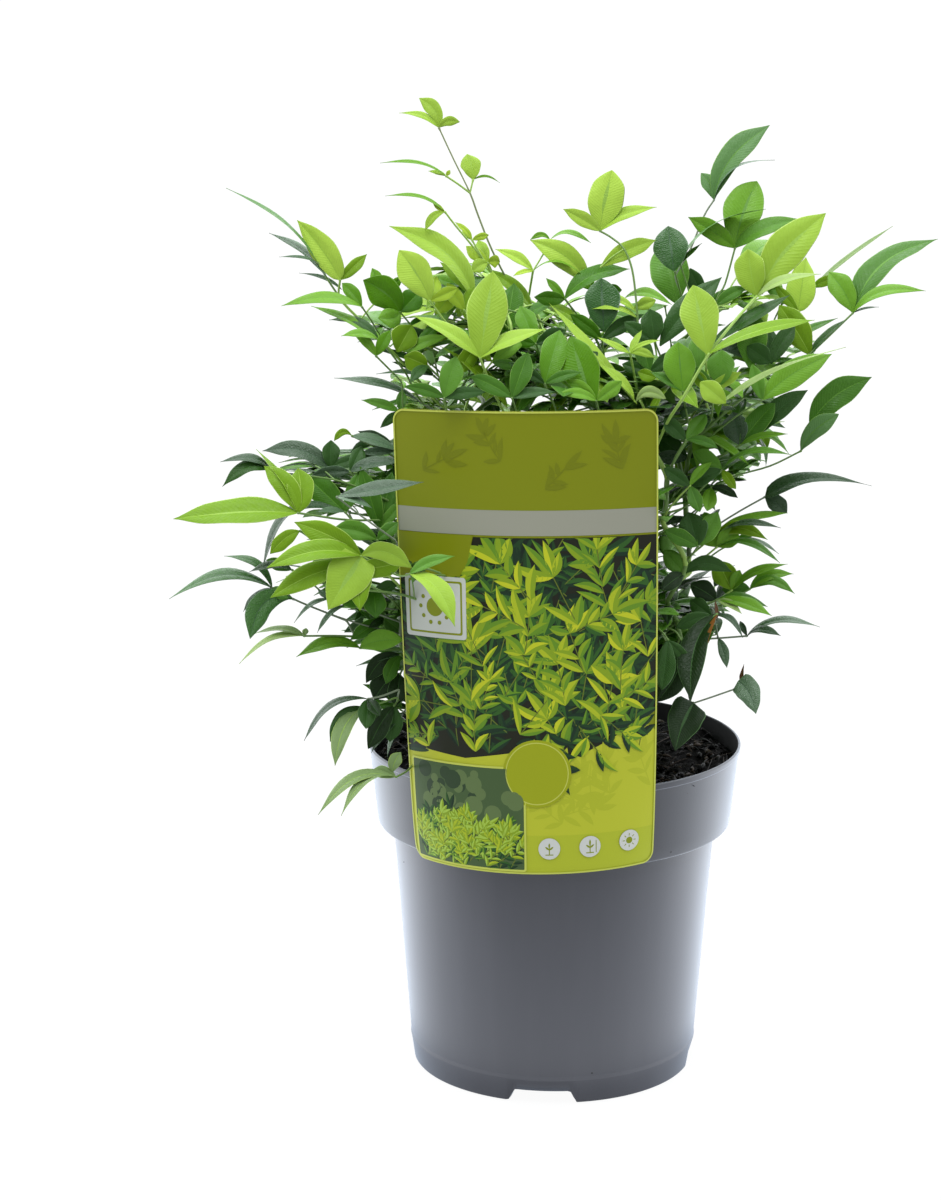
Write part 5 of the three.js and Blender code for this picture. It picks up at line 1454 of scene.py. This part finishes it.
# bark bits, fibres and small clods
rb = random.Random(77)
for kbit in range(1500):
    rad_ = 91 * math.sqrt(rb.random())
    a_ = rb.random() * 6.283
    x, y = rad_ * math.cos(a_), rad_ * math.sin(a_)
    z = SOIL_Z + float(soil_height(x, y)) - 2.2 * max(0, (rad_ - 84) / 8)
    kind = rb.random()
    d = np.array([math.cos(rb.random() * 6.28), math.sin(rb.random() * 6.28), (rb.random() - 0.5) * 0.5])
    d = unit(d)
    p = np.array([x, y, z])
    if math.hypot(*(p[:2] + d[:2] * 6)) > 91 or math.hypot(*(p[:2] - d[:2] * 6)) > 91:
        d = unit(np.array([-y, x, 0.0]) + d * 0.3)
    if kind < 0.5:
        ln = 4 + 20 * rb.random() ** 2
        c1 = p + d * ln * 0.5 + Z3 * (0.4 + rb.random() * 1.6)
        line = catmull([p - d * ln * 0.5, c1 - d * ln * 0.45 + np.array([rb.random() - 0.5, rb.random() - 0.5, 0.3]) * 1.5, c1], 4)
        line[:, 2] = np.maximum(line[:, 2], z - 0.6)
        rr_ = 0.16 + 0.28 * rb.random()
        tube(soil, line, np.linspace(rr_, rr_ * 0.5, len(line)), rb.choice([1, 2, 1, 3, 3]), 4)
    else:
        ln = 1.5 + 4.5 * rb.random() ** 1.5
        w_ = ln * (0.25 + 0.3 * rb.random())
        line = np.array([p - d * ln / 2, p - d * ln * 0.2 + Z3 * 0.3, p + d * ln * 0.2 + Z3 * 0.4, p + d * ln / 2]) + Z3 * (0.2 + 0.6 * rb.random())
        tube(soil, line, [w_ * 0.3, w_ * 0.6, w_ * 0.55, w_ * 0.2], rb.choice([0, 0, 1, 3, 3, 1, 2]), 5)

soil_mat = material("compost", srgb(12, 10, 9), 0.7)
soil_mat.node_tree.nodes["Principled BSDF"].inputs["Specular IOR Level"].default_value = 0.04
nt, nodes, links, b = add_nodes(soil_mat)
n5 = noise(soil_mat, 420.0, 6.0, 0.7)
cr = ramp(soil_mat, n5.outputs["Fac"], [(0.3, srgb(1, 1, 1)), (0.55, srgb(5, 4, 3)), (0.78, srgb(20, 14, 10))])
links.new(cr.outputs["Color"], b.inputs["Base Color"])
bump(soil_mat, n5.outputs["Fac"], 0.9, 0.0012)
SOIL_SLOTS = [soil_mat]
for nm, col in (("fibre_brown", (24, 17, 12)), ("fibre_pale", (56, 44, 34)), ("fibre_dark", (4, 3, 3))):
    m = material(nm, srgb(*col), 0.55)
    m.node_tree.nodes["Principled BSDF"].inputs["Specular IOR Level"].default_value = 0.3
    n6 = noise(m, 700.0, 4.0)
    bump(m, n6.outputs["Fac"], 0.6, 0.0006)
    SOIL_SLOTS.append(m)

# ------------------------------------------------------------------ label

card = Mesh()
CARD_SLOTS, CARD_OF = [], {}


def print_slot(name, rgb, rough=0.34):
    m = material("print_" + name, srgb(*rgb), rough)
    b_ = m.node_tree.nodes["Principled BSDF"]
    b_.inputs["Specular IOR Level"].default_value = 0.3
    n_ = noise(m, 60.0, 2.0)
    bump(m, n_.outputs["Fac"], 0.04, 0.0006)
    ms = add_nodes(m)[1].new("ShaderNodeMapRange")
    ms.inputs["To Min"].default_value = rough - 0.05
    ms.inputs["To Max"].default_value = rough + 0.06
    add_nodes(m)[2].new(n_.outputs["Fac"], ms.inputs["Value"])
    add_nodes(m)[2].new(ms.outputs["Result"], b_.inputs["Roughness"])
    CARD_OF[name] = len(CARD_SLOTS)
    CARD_SLOTS.append(m)


for nm, col in {
    "olive": (122, 130, 2), "olive_deep": (111, 119, 2), "stripe": (150, 150, 134), "lime": (178, 184, 44), "lime_low": (168, 178, 40), "lime_ghost": (168, 176, 38),
    "night": (26, 28, 12), "leaf_y": (186, 192, 34), "leaf_a": (166, 180, 32), "leaf_b": (128, 154, 26), "leaf_c": (96, 136, 30), "leaf_d": (46, 88, 30), "leaf_e": (28, 60, 26), "leaf_f": (14, 32, 18), "leaf_g": (20, 46, 26),
    "pale_leaf": (158, 188, 70), "stem": (96, 110, 34), "white": (198, 200, 194), "edge": (188, 196, 84), "back": (200, 202, 188), "panel": (66, 88, 50), "panel_soft": (92, 112, 66), "panel_deep": (44, 64, 38),
    "disc": (128, 138, 20), "spot": (150, 158, 16), "spot_line": (184, 190, 84),
}.items():
    print_slot(nm, col)


def patch(outline_pts, slot_name, level):
    """A flat printed shape, laid on the label at a tiny height of its own and following its bend."""
    pts = np.asarray(outline_pts, float)
    bm = bmesh.new()
    vs = [bm.verts.new((p[0], 0, p[1])) for p in pts]
    try:
        f = bm.faces.new(vs)
    except ValueError:
        bm.free()
        return
    lo, hi = pts.min(0), pts.max(0)
    # cut into strips so that it can bend
    for axis_i, step, origin in ((0, CARD_W / 88, -CARD_W / 2), (1, CARD_H / 60, 0.0)):
        # the cuts lie where the sheet has its own
        x = origin + step * (math.floor((lo[axis_i] - origin) / step + 1e-6) + 1)
        while x < hi[axis_i] - 0.01:
            co = Vector((x, 0, 0)) if axis_i == 0 else Vector((0, 0, x))
            no = Vector((1, 0, 0)) if axis_i == 0 else Vector((0, 0, 1))
            bmesh.ops.bisect_plane(bm, geom=bm.verts[:] + bm.edges[:] + bm.faces[:], plane_co=co, plane_no=no)
            x += step
    bmesh.ops.triangulate(bm, faces=bm.faces[:])
    bm.verts.index_update()
    co = np.array([tuple(v.co) for v in bm.verts])
    tri = np.array([[v.index for v in f.verts] for f in bm.faces])
    if len(tri) == 0:
        bm.free()
        return
    a, b_, c_ = co[tri[0, 0]], co[tri[0, 1]], co[tri[0, 2]]
    if np.cross(b_ - a, c_ - a)[1] > 0:
        tri = tri[:, ::-1]
    y = -0.25 - 0.006 * level
    card.add(stand(co[:, 0], np.full(len(co), y), co[:, 2]), tri, CARD_OF[slot_name])
    bm.free()


def rounded(x0, z0, x1, z1, r, n=5):
    out = []
    for cx, cz, a0 in ((x1 - r, z0 + r, -90), (x1 - r, z1 - r, 0), (x0 + r, z1 - r, 90), (x0 + r, z0 + r, 180)):
        for q_ in range(n + 1):
            a_ = math.radians(a0 + 90 * q_ / n)
            out.append((cx + r * math.cos(a_), cz + r * math.sin(a_)))
    return out


def circle(cx, cz, r, n=28):
    return [(cx + r * math.cos(2 * math.pi * q_ / n), cz + r * math.sin(2 * math.pi * q_ / n)) for q_ in range(n)]


# the sheet itself: front, back and rim
NX, NZ = 88, 60
gx = np.linspace(-CARD_W / 2, CARD_W / 2, NX + 1)
gz = np.linspace(0, CARD_H, NZ + 1)
GX, GZ = np.meshgrid(gx, gz, indexing="ij")
CR = 6.0
# the corners are drawn in to a round
for sx in (-1, 1):
    for sz in (0, 1):
        cxx, czz = sx * (CARD_W / 2 - CR), (CARD_H - CR if sz else CR)
        dx, dz = GX - cxx, GZ - czz
        inside = (np.sign(dx) == sx) & (np.sign(dz) == (1 if sz else -1))
        m_ = np.maximum(np.abs(dx), np.abs(dz))
        ln_ = np.hypot(dx, dz) + 1e-9
        GX = np.where(inside, cxx + dx / ln_ * m_, GX)
        GZ = np.where(inside, czz + dz / ln_ * m_, GZ)
for side_, y, slot_ in ((0, -0.16, "olive"), (1, 0.22, "back")):
    v = stand(GX.ravel(), np.full(GX.size, y), GZ.ravel())
    i = np.arange(NX)[:, None] * (NZ + 1)
    j = np.arange(NZ)[None, :]
    q = np.stack([i + j, i + NZ + 1 + j, i + NZ + 2 + j, i + j + 1], -1).reshape(-1, 4)
    if side_ == 1:
        q = q[:, ::-1]
    card.add(v, q, CARD_OF[slot_])
edge = [(a_, 0) for a_ in range(NX)] + [(NX, a_) for a_ in range(NZ)] + [(a_, NZ) for a_ in range(NX, 0, -1)] + [(0, a_) for a_ in range(NZ, 0, -1)]
ex = np.array([GX[p] for p in edge])
ez = np.array([GZ[p] for p in edge])
va, vb = stand(ex, np.full(len(ex), -0.16), ez), stand(ex, np.full(len(ex), 0.22), ez)
ne = len(edge)
q = np.stack([np.arange(ne), np.arange(ne) + ne, (np.arange(ne) + 1) % ne + ne, (np.arange(ne) + 1) % ne], -1)
card.add(np.vstack([va, vb]), q, CARD_OF["edge"])

HW = CARD_W / 2
STEP = 0.006  # mm between the layers of the print


def lay_print(v2, faces, slot_name, level):
    """Lays flat print, as x and z by row, on the label at its own tiny height."""
    v2 = np.asarray(v2, float)
    faces = np.asarray(faces, int)
    a_, b_, c_ = v2[faces[:, 0]], v2[faces[:, 1]], v2[faces[:, 2]]
    turn_ = (b_ - a_)[:, 0] * (c_ - a_)[:, 1] - (b_ - a_)[:, 1] * (c_ - a_)[:, 0]
    faces = np.where((turn_ < 0)[:, None], faces[:, ::-1], faces)[np.abs(turn_) > 1e-6]
    if len(faces):
        card.add(stand(v2[:, 0], np.full(len(v2), -0.25 - STEP * level), v2[:, 1]), faces, CARD_OF[slot_name])


def keep_in(pts, area_):
    x0, z0, x1, z1 = area_
    return np.stack([np.clip(pts[:, 0], x0, x1), np.clip(pts[:, 1], z0, z1)], -1)


PICTURE = (-64.4, 46.0, 64.4, 162.0)


def print_leaf(x, z, ang, ln, w, tones2, level, bend=0.1, area_=PICTURE, n=None):
    """A slender printed leaf in two tones, one to each side of its midrib."""
    n = n or max(5, int(ln / 2.4) + 2)
    t_ = np.linspace(0, 1, n)
    h_ = outline(t_, 0.8, 0.95) * w * 0.43
    h_[0] = 0.15
    mx, mz = t_ * ln, np.sin(math.pi * t_) * ln * bend
    rot = np.array([[math.cos(ang), math.sin(ang)], [-math.sin(ang), math.cos(ang)]])
    mid = np.stack([mx, mz], -1) @ rot + [x, z]
    up_ = np.stack([mx, mz + h_], -1) @ rot + [x, z]
    dn_ = np.stack([mx, mz - h_], -1) @ rot + [x, z]
    i_ = np.arange(n - 1)
    f_ = np.vstack([np.stack([i_, i_ + 1, i_ + n + 1], -1), np.stack([i_, i_ + n + 1, i_ + n], -1)])
    for side_, nm in ((up_, tones2[0]), (dn_, tones2[1])):
        lay_print(keep_in(np.vstack([mid, side_]), area_), f_, nm, level)


def print_line(points, w, slot_name, level, area_=PICTURE):
    p_ = catmull([(q_[0], q_[1], 0) for q_ in points], 5)[:, :2]
    t_ = np.gradient(p_, axis=0)
    t_ /= np.linalg.norm(t_, axis=1)[:, None] + 1e-9
    o_ = np.stack([-t_[:, 1], t_[:, 0]], -1) * w / 2
    n = len(p_)
    i_ = np.arange(n - 1)
    f_ = np.vstack([np.stack([i_, i_ + 1, i_ + n + 1], -1), np.stack([i_, i_ + n + 1, i_ + n], -1)])
    lay_print(keep_in(np.vstack([p_ - o_, p_ + o_]), area_), f_, slot_name, level)


def print_spray(rp, x, z, ang, ln, tones2, level, area_=PICTURE, pairs=3, slim=0.30, stem_="stem"):
    """A printed shoot: a thin stem, pairs of leaves and one at its end."""
    stem = ln * (0.9 + 0.3 * rp.random())
    curve = (rp.random() - 0.5) * 0.6
    pts_, dirs = [], []
    a_ = ang
    px_, pz_ = x - stem * 0.5 * math.cos(ang), z - stem * 0.5 * math.sin(ang)
    for q_ in range(pairs + 1):
        pts_.append((px_, pz_))
        dirs.append(a_)
        px_ += stem / pairs * math.cos(a_)
        pz_ += stem / pairs * math.sin(a_)
        a_ += curve / pairs
    print_line(pts_, 0.5, stem_, level, area_)
    for q_, ((lx, lz), d_) in enumerate(zip(pts_, dirs)):
        k_ = 1.0 - 0.12 * q_
        if q_ == pairs:
            # the tip opens in a fan
            for fan, part_ in ((-1.0, 0.72), (1.0, 0.72), (-0.5, 0.9), (0.5, 0.9), (0.0, 1.0)):
                if abs(fan) > 0.1 and rp.random() < 0.25:
                    continue
                print_leaf(lx, lz, d_ + fan * (0.9 + 0.3 * rp.random()), ln * part_ * (0.8 + 0.3 * rp.random()), ln * slim * (0.9 + 0.3 * rp.random()), rp.choice(tones2), level + 0.5, (rp.random() - 0.5) * 0.2, area_)
            continue
        for sg in (1, -1):
            if rp.random() < 0.12:
                continue
            print_leaf(lx, lz, d_ + sg * (0.55 + 0.5 * rp.random()), ln * k_ * (0.6 + 0.35 * rp.random()), ln * slim * (0.7 + 0.35 * rp.random()), rp.choice(tones2), level + 0.25, -sg * 0.1 * rp.random(), area_)


# the lower area with its darker strip; the olive band above is the sheet itself
low_ = rounded(-HW + 0.3, 0.3, HW - 0.3, 70, 5.8)
patch(low_[:12] + [(HW - 0.3, 70), (-HW + 0.3, 70)] + low_[18:], "lime", 1)
patch([(-HW + 0.3, 7), (-HW + 0.3, 19), (HW - 0.3, 19), (HW - 0.3, 7), (HW - 1.6, 3.0), (HW - 6, 0.4), (-HW + 6, 0.4), (-HW + 1.6, 3.0)], "lime_low", 3)
patch([(-HW + 0.3, 163.2), (HW - 0.3, 163.2), (HW - 0.3, 175.2), (-HW + 0.3, 175.2)], "stripe", 2)
patch([(-HW + 0.3, 58), (-30, 55), (0, 60), (18, 54), (36, 62), (52, 70), (HW - 0.3, 78), (HW - 0.3, 162.2), (-24, 162.2), (-27, 150), (-31, 143), (-HW + 0.3, 141)], "night", 3)
rp = random.Random(31)
# tone on tone in the lower area and in the band
for _ in range(9):
    print_spray(rp, 12 + 48 * rp.random(), 26 + 26 * rp.random(), rp.random() * 6.28, 14, [("lime_ghost", "lime_ghost")], 4 + rp.random(), (2, 21, 64, 66), 2, 0.24, "lime_ghost")
for cx_, cz_, an in ((-44, 196, 0.5), (-14, 204, 2.2), (16, 190, 0.8), (46, 200, 1.9)):
    print_spray(rp, cx_, cz_, an, 13, [("olive_deep", "olive_deep")], 2 + rp.random(), (-62, 178, 62, 219), 3, 0.24, "olive_deep")
# the picture of leaves: darker shoots behind, yellower ones before them
LAYERS = [
    (66, 17, [("leaf_f", "leaf_e"), ("leaf_e", "leaf_g")], 5, 14),
    (44, 17, [("leaf_e", "leaf_d"), ("leaf_d", "leaf_g")], 15, 14),
    (24, 16, [("leaf_c", "leaf_d"), ("leaf_b", "leaf_c")], 30, 12),
    (30, 19, [("leaf_a", "leaf_b"), ("leaf_y", "leaf_b"), ("leaf_b", "leaf_c")], 43, 13),
]
for count_, big, tones2, level0, span_ in LAYERS:
    for q_ in range(count_):
        x_, z_ = -60 + 120 * ((q_ * 0.618 + 0.13 * rp.random()) % 1), 62 + 94 * ((q_ + rp.random()) / count_)
        if x_ < -24 and z_ > 136:
            continue
        if level0 == 43 and (x_ < -46 or z_ > 150) and rp.random() < 0.6:
            continue
        if level0 < 43 and x_ > 22 and z_ > 132 and rp.random() < 0.7:
            continue
        up_ = math.pi / 2 + (rp.random() - 0.5) * 2.2 + 0.012 * -x_
        size_ = big * (0.65 + 0.6 * rp.random())
        print_spray(rp, x_, max(z_, 64), up_, size_, tones2, level0 + span_ * q_ / count_, (-64.6, 44, 64.6, 162.0), rp.choice([1, 2, 3]), 0.22 + 0.06 * rp.random())
# shoots that hang over the lower area
for x_, z_, an_ in ((14, 60, -1.3), (30, 66, -1.0), (42, 72, -0.7), (2, 58, -1.9)):
    print_spray(rp, x_, z_, an_, 15, [("leaf_e", "leaf_g"), ("leaf_a", "leaf_c")], 58, (-64.6, 26, 64.6, 162.0), 2, 0.28)
patch([(-HW + 0.3, 141), (-31, 143), (-27, 150), (-24, 163.0), (-HW + 0.3, 163.0)], "olive", 60)
# a plain badge in place of the mark, with a simple sun
patch(rounded(-61.6, 112.4, -28.0, 142.4, 1.6), "white", 61)
patch(rounded(-59.6, 114.4, -30.0, 140.4, 1.2), "disc", 62)
patch(rounded(-58.6, 115.4, -31.0, 139.4, 1.0), "white", 63)
patch(circle(-44.8, 127.4, 4.6, 28), "disc", 66)
for q_ in range(10):
    a_ = q_ * math.pi / 5
    patch(circle(-44.8 + 7.9 * math.cos(a_), 127.4 + 7.9 * math.sin(a_), 1.05, 14), "disc", 66)
# the round spot, bare but for a fine ring
patch(circle(5.9, 49.2, 16.4, 44), "spot", 61)
patch(circle(5.9, 49.2, 15.2, 44), "spot_line", 62)
patch(circle(5.9, 49.2, 14.7, 44), "spot", 63)
# the small picture of a shrub before a soft garden
INSET = (-61.4, 2.2, -0.6, 51.2)
patch(rounded(-62.4, 1.2, 0.4, 52.2, 1.4), "edge", 61)
patch(rounded(*INSET, 0.6), "panel", 62)
for q_ in range(26):
    cx_, cz_, r_ = -58 + 54 * rp.random(), 26 + 22 * rp.random(), 2 + 3.2 * rp.random()
    patch([(min(max(a_, INSET[0] + 0.3), INSET[2] - 0.3), min(b_, INSET[3] - 0.4)) for a_, b_ in circle(cx_, cz_, r_, 14)], rp.choice(["panel_soft", "panel_deep", "panel_soft"]), 62.4 + 0.1 * q_)
for count_, tones2, level0, top_ in ((46, [("leaf_e", "leaf_g"), ("leaf_d", "leaf_e")], 66, 27), (40, [("leaf_c", "leaf_d"), ("pale_leaf", "leaf_c")], 71, 27), (34, [("leaf_a", "leaf_b"), ("pale_leaf", "leaf_b")], 76, 25)):
    for q_ in range(count_):
        x_ = -58 + 54 * rp.random()
        z_ = 4 + (top_ - 5 - 0.012 * (x_ + 31) ** 2) * rp.random()
        print_spray(rp, x_, z_, math.pi / 2 + (rp.random() - 0.5) * 2.0, 5.5 + 3 * rp.random(), tones2, level0 + 5 * q_ / count_, INSET, 2, 0.3)
# three plain care signs: a young plant, a taller one by a measure, and a sun
for q_, (cx_, cz_) in enumerate(((11.4, 12.6), (31.0, 12.8), (51.0, 13.6))):
    patch(circle(cx_, cz_, 5.2, 30), "white", 61)
    box_ = (cx_ - 4.6, cz_ - 4.6, cx_ + 4.6, cz_ + 4.6)
    if q_ < 2:
        print_line([(cx_, cz_ - 2.8), (cx_, cz_ + 1.2)], 0.5, "disc", 64, box_)
        for sg in (1, -1):
            print_leaf(cx_, cz_ - 0.6, math.pi / 2 + sg * 0.9, 2.6, 1.1, ("disc", "disc"), 65, 0, box_)
        print_leaf(cx_, cz_ + 0.4, math.pi / 2, 2.4 if q_ == 0 else 3.2, 1.1, ("disc", "disc"), 65, 0, box_)
        print_line([(cx_ - 1.9, cz_ - 3.0), (cx_ + 1.9, cz_ - 3.0)], 0.5, "disc", 64, box_)
        if q_ == 1:
            print_line([(cx_ + 3.0, cz_ - 3.0), (cx_ + 3.0, cz_ + 3.0)], 0.4, "disc", 64, box_)
    else:
        patch(circle(cx_, cz_, 1.7, 18), "disc", 62)
        for k_ in range(8):
            a_ = k_ * math.pi / 4
            print_line([(cx_ + 2.3 * math.cos(a_), cz_ + 2.3 * math.sin(a_)), (cx_ + 3.5 * math.cos(a_), cz_ + 3.5 * math.sin(a_))], 0.4, "disc", 64, box_)
# the pale line along the label's rim
ring_o, ring_i = rounded(-HW + 0.15, 0.15, HW - 0.15, CARD_H - 0.15, 5.9, 8), rounded(-HW + 0.95, 0.95, HW - 0.95, CARD_H - 0.95, 5.1, 8)


def dense(loop, longest=2.4):
    out = []
    for q_ in range(len(loop)):
        a_, b_ = np.array(loop[q_]), np.array(loop[(q_ + 1) % len(loop)])
        k_ = max(1, int(round(np.linalg.norm(b_ - a_) / longest)))
        out.append((a_, b_, k_))
    return out


o_pts, i_pts = [], []
for (a_, b_, k_), (c_, d_, _) in zip(dense(ring_o), dense(ring_i)):
    for q_ in range(k_):
        o_pts.append(a_ + (b_ - a_) * q_ / k_)
        i_pts.append(c_ + (d_ - c_) * q_ / k_)
n = len(o_pts)
i_ = np.arange(n)
j_ = (i_ + 1) % n
lay_print(np.vstack([o_pts, i_pts]), np.vstack([np.stack([i_, j_, j_ + n], -1), np.stack([i_, j_ + n, i_ + n], -1)]), "edge", 68)

# the tongue over the rim and down the inside of the pot
slope = (RIM_R - COLLAR_LOW_R) / (POT_H - COLLAR_LOW_Z)


def inner_wall(z):
    return RIM_R - 1.3 - slope * (POT_H - z)


tongue_path = fillet([(CARD_LOW_R - 0.1, 173.2, 0), (inner_wall(169) - 1.1, 173.2, 2.0), (inner_wall(134) - 1.2, 134.0, 0)], 6)
tongue_path = subdivide(tongue_path, 4.0)
ta = np.linspace(-21, 21, 15) / RIM_R + math.radians(-90) + CARD_TURN
for sgn, nm in ((1, "back"), (-1, "edge")):
    pr = tongue_path.copy()
    tg = np.gradient(pr, axis=0)
    nr_ = np.stack([-tg[:, 1], tg[:, 0]], -1)
    nr_ /= np.linalg.norm(nr_, axis=1)[:, None]
    pr = pr + nr_ * 0.2 * sgn
    v = np.stack([pr[:, 0][:, None] * np.cos(ta), pr[:, 0][:, None] * np.sin(ta), pr[:, 1][:, None] + 0 * ta], -1).reshape(-1, 3)
    nta = len(ta)
    i = np.arange(len(pr) - 1)[:, None] * nta
    j = np.arange(nta - 1)[None, :]
    q = np.stack([i + j, i + j + 1, i + nta + j + 1, i + nta + j], -1).reshape(-1, 4)
    if sgn < 0:
        q = q[:, ::-1]
    card.add(v, q, CARD_OF[nm])

# ------------------------------------------------------------------ objects

made = {}


def piece(name, mesh, mats, replaces=(), smooth=True):
    o = mesh.make(name, mats, smooth)
    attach(o, "root")
    if replaces:
        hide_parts(*replaces)
    made[name] = o
    return o


leaf_nodes = sorted(n for n in NODES if n.startswith("leaves_"))
left_over = list(leaf_nodes)
for key, names in FILLS.items():
    own_nodes = [n for n in left_over if n[7:] in names and n[7:] not in OUTER]
    left_over = [n for n in left_over if n not in own_nodes]
    piece("leaflets_" + key, fills[key], LEAF_SLOTS, own_nodes)
piece("leaflets_outer", upper, LEAF_SLOTS, left_over)
piece("leaf_stalks", stalks, STALK_SLOTS, sorted(n for n in NODES if n.startswith("stalk_")) + ["tall_shoot"])
piece("canes", canes, [bark, sheath], CANE_NAMES)
piece("nursery_pot", pot_mesh, [pot_mat, pot_in, pip], ["pot"])
piece("compost", soil, SOIL_SLOTS, ["root_ball"])
piece("plant_label", card, CARD_SLOTS, ["care_card"], smooth=False)

# ------------------------------------------------------------------ stage and light

FLOOR_FRONT, FLOOR_BACK, SKY_FRONT, SKY_BACK = 0.60, 2.4, 0.52, 2.15
COOL = (0.935, 0.965, 1.0, 1)


def for_camera(nodes_, links_, path, plain, cool):
    """White where the camera looks at the stage itself, a little cool as light."""
    mx_ = nodes_.new("ShaderNodeMix")
    mx_.data_type = "RGBA"
    links_.new(path.outputs["Is Camera Ray"], mx_.inputs["Factor"])
    mx_.inputs[6].default_value = cool
    mx_.inputs[7].default_value = plain
    return mx_.outputs[2]



bpy.ops.mesh.primitive_plane_add(size=600, location=(0, 0, -0.0005))
floor = bpy.context.object
floor.name = "floor"
floor_mat = material("floor_white", (0.05, 0.05, 0.05, 1), 0.9)
nt, nodes, links, b = add_nodes(floor_mat)
b.inputs["Emission Color"].default_value = (1, 1, 1, 1)
b.inputs["Specular IOR Level"].default_value = 0.0
tc = nodes.new("ShaderNodeTexCoord")
sp_ = nodes.new("ShaderNodeSeparateXYZ")
links.new(tc.outputs["Object"], sp_.inputs[0])
fm = nodes.new("ShaderNodeMapRange")
fm.interpolation_type = "SMOOTHSTEP"
fm.inputs["From Min"].default_value = -0.35
fm.inputs["From Max"].default_value = 0.25
fm.inputs["To Min"].default_value = FLOOR_FRONT
fm.inputs["To Max"].default_value = FLOOR_BACK
links.new(sp_.outputs["Y"], fm.inputs["Value"])
lp = nodes.new("ShaderNodeLightPath")
sel = nodes.new("ShaderNodeMix")
sel.data_type = "FLOAT"
links.new(lp.outputs["Is Camera Ray"], sel.inputs["Factor"])
ln_ = nodes.new("ShaderNodeVectorMath")
ln_.operation = "LENGTH"
links.new(tc.outputs["Object"], ln_.inputs[0])
# painted shadow: the floor's light is dimmed close to the pot, standing in for its contact shadow
painted_contact_shadow = nodes.new("ShaderNodeMapRange")
painted_contact_shadow.interpolation_type = "SMOOTHSTEP"
painted_contact_shadow.inputs["From Min"].default_value = 0.08
painted_contact_shadow.inputs["From Max"].default_value = 0.115
painted_contact_shadow.inputs["To Min"].default_value = 0.35
painted_contact_shadow.inputs["To Max"].default_value = 1.0
links.new(ln_.outputs["Value"], painted_contact_shadow.inputs["Value"])
dim = nodes.new("ShaderNodeMath")
dim.operation = "MULTIPLY"
links.new(fm.outputs["Result"], dim.inputs[0])
links.new(painted_contact_shadow.outputs["Result"], dim.inputs[1])
links.new(dim.outputs[0], sel.inputs[2])
sel.inputs[3].default_value = 0.95
links.new(for_camera(nodes, links, lp, (1, 1, 1, 1), COOL), b.inputs["Emission Color"])
links.new(sel.outputs[0], b.inputs["Emission Strength"])
floor.data.materials.append(floor_mat)

# a white studio: soft and moderate before the object, bright beside and behind it
world = bpy.data.worlds.new("studio")
bpy.context.scene.world = world
world.use_nodes = True
wn, wl = world.node_tree.nodes, world.node_tree.links
bg = wn["Background"]
bg.inputs["Color"].default_value = (1, 1, 1, 1)
wtc = wn.new("ShaderNodeTexCoord")
wsep = wn.new("ShaderNodeSeparateXYZ")
wl.new(wtc.outputs["Generated"], wsep.inputs[0])
wmr = wn.new("ShaderNodeMapRange")
wmr.interpolation_type = "SMOOTHSTEP"
wmr.inputs["From Min"].default_value = -0.85
wmr.inputs["From Max"].default_value = 0.15
wmr.inputs["To Min"].default_value = SKY_FRONT
wmr.inputs["To Max"].default_value = SKY_BACK
wl.new(wsep.outputs["Y"], wmr.inputs["Value"])
wup = wn.new("ShaderNodeMapRange")
wup.interpolation_type = "SMOOTHSTEP"
wup.inputs["From Min"].default_value = 0.0
wup.inputs["From Max"].default_value = 0.8
wup.inputs["To Min"].default_value = 0.8
wup.inputs["To Max"].default_value = 1.25
wl.new(wsep.outputs["Z"], wup.inputs["Value"])
wmul = wn.new("ShaderNodeMath")
wmul.operation = "MULTIPLY"
wl.new(wmr.outputs["Result"], wmul.inputs[0])
wl.new(wup.outputs["Result"], wmul.inputs[1])
wlp = wn.new("ShaderNodeLightPath")
wsel = wn.new("ShaderNodeMix")
wsel.data_type = "FLOAT"
wl.new(wlp.outputs["Is Camera Ray"], wsel.inputs["Factor"])
wl.new(wmul.outputs[0], wsel.inputs[2])
wsel.inputs[3].default_value = 1.0
wl.new(for_camera(wn, wl, wlp, (1, 1, 1, 1), COOL), bg.inputs["Color"])
wl.new(wsel.outputs[0], bg.inputs["Strength"])


def area(name, loc, target, size, power, color=(1, 1, 1)):
    d = bpy.data.lights.new(name, "AREA")
    d.shape = "RECTANGLE"
    d.size, d.size_y = size
    d.energy = power
    d.color = color
    o = bpy.data.objects.new(name, d)
    bpy.context.collection.objects.link(o)
    o.location = loc
    o.rotation_euler = (Vector(target) - Vector(loc)).to_track_quat("-Z", "Y").to_euler()
    return o


area("overhead", (-0.3, -0.6, 2.2), (0, 0, 0.3), (1.2, 1.0), 19, (0.95, 0.975, 1.0))

vs_ = bpy.context.scene.view_settings
vs_.view_transform = "Standard"
vs_.look = "None"

print("leaflets", leaf_count, "triangles", {n: sum(len(q.vertices) - 2 for q in o.data.polygons) for n, o in made.items()})
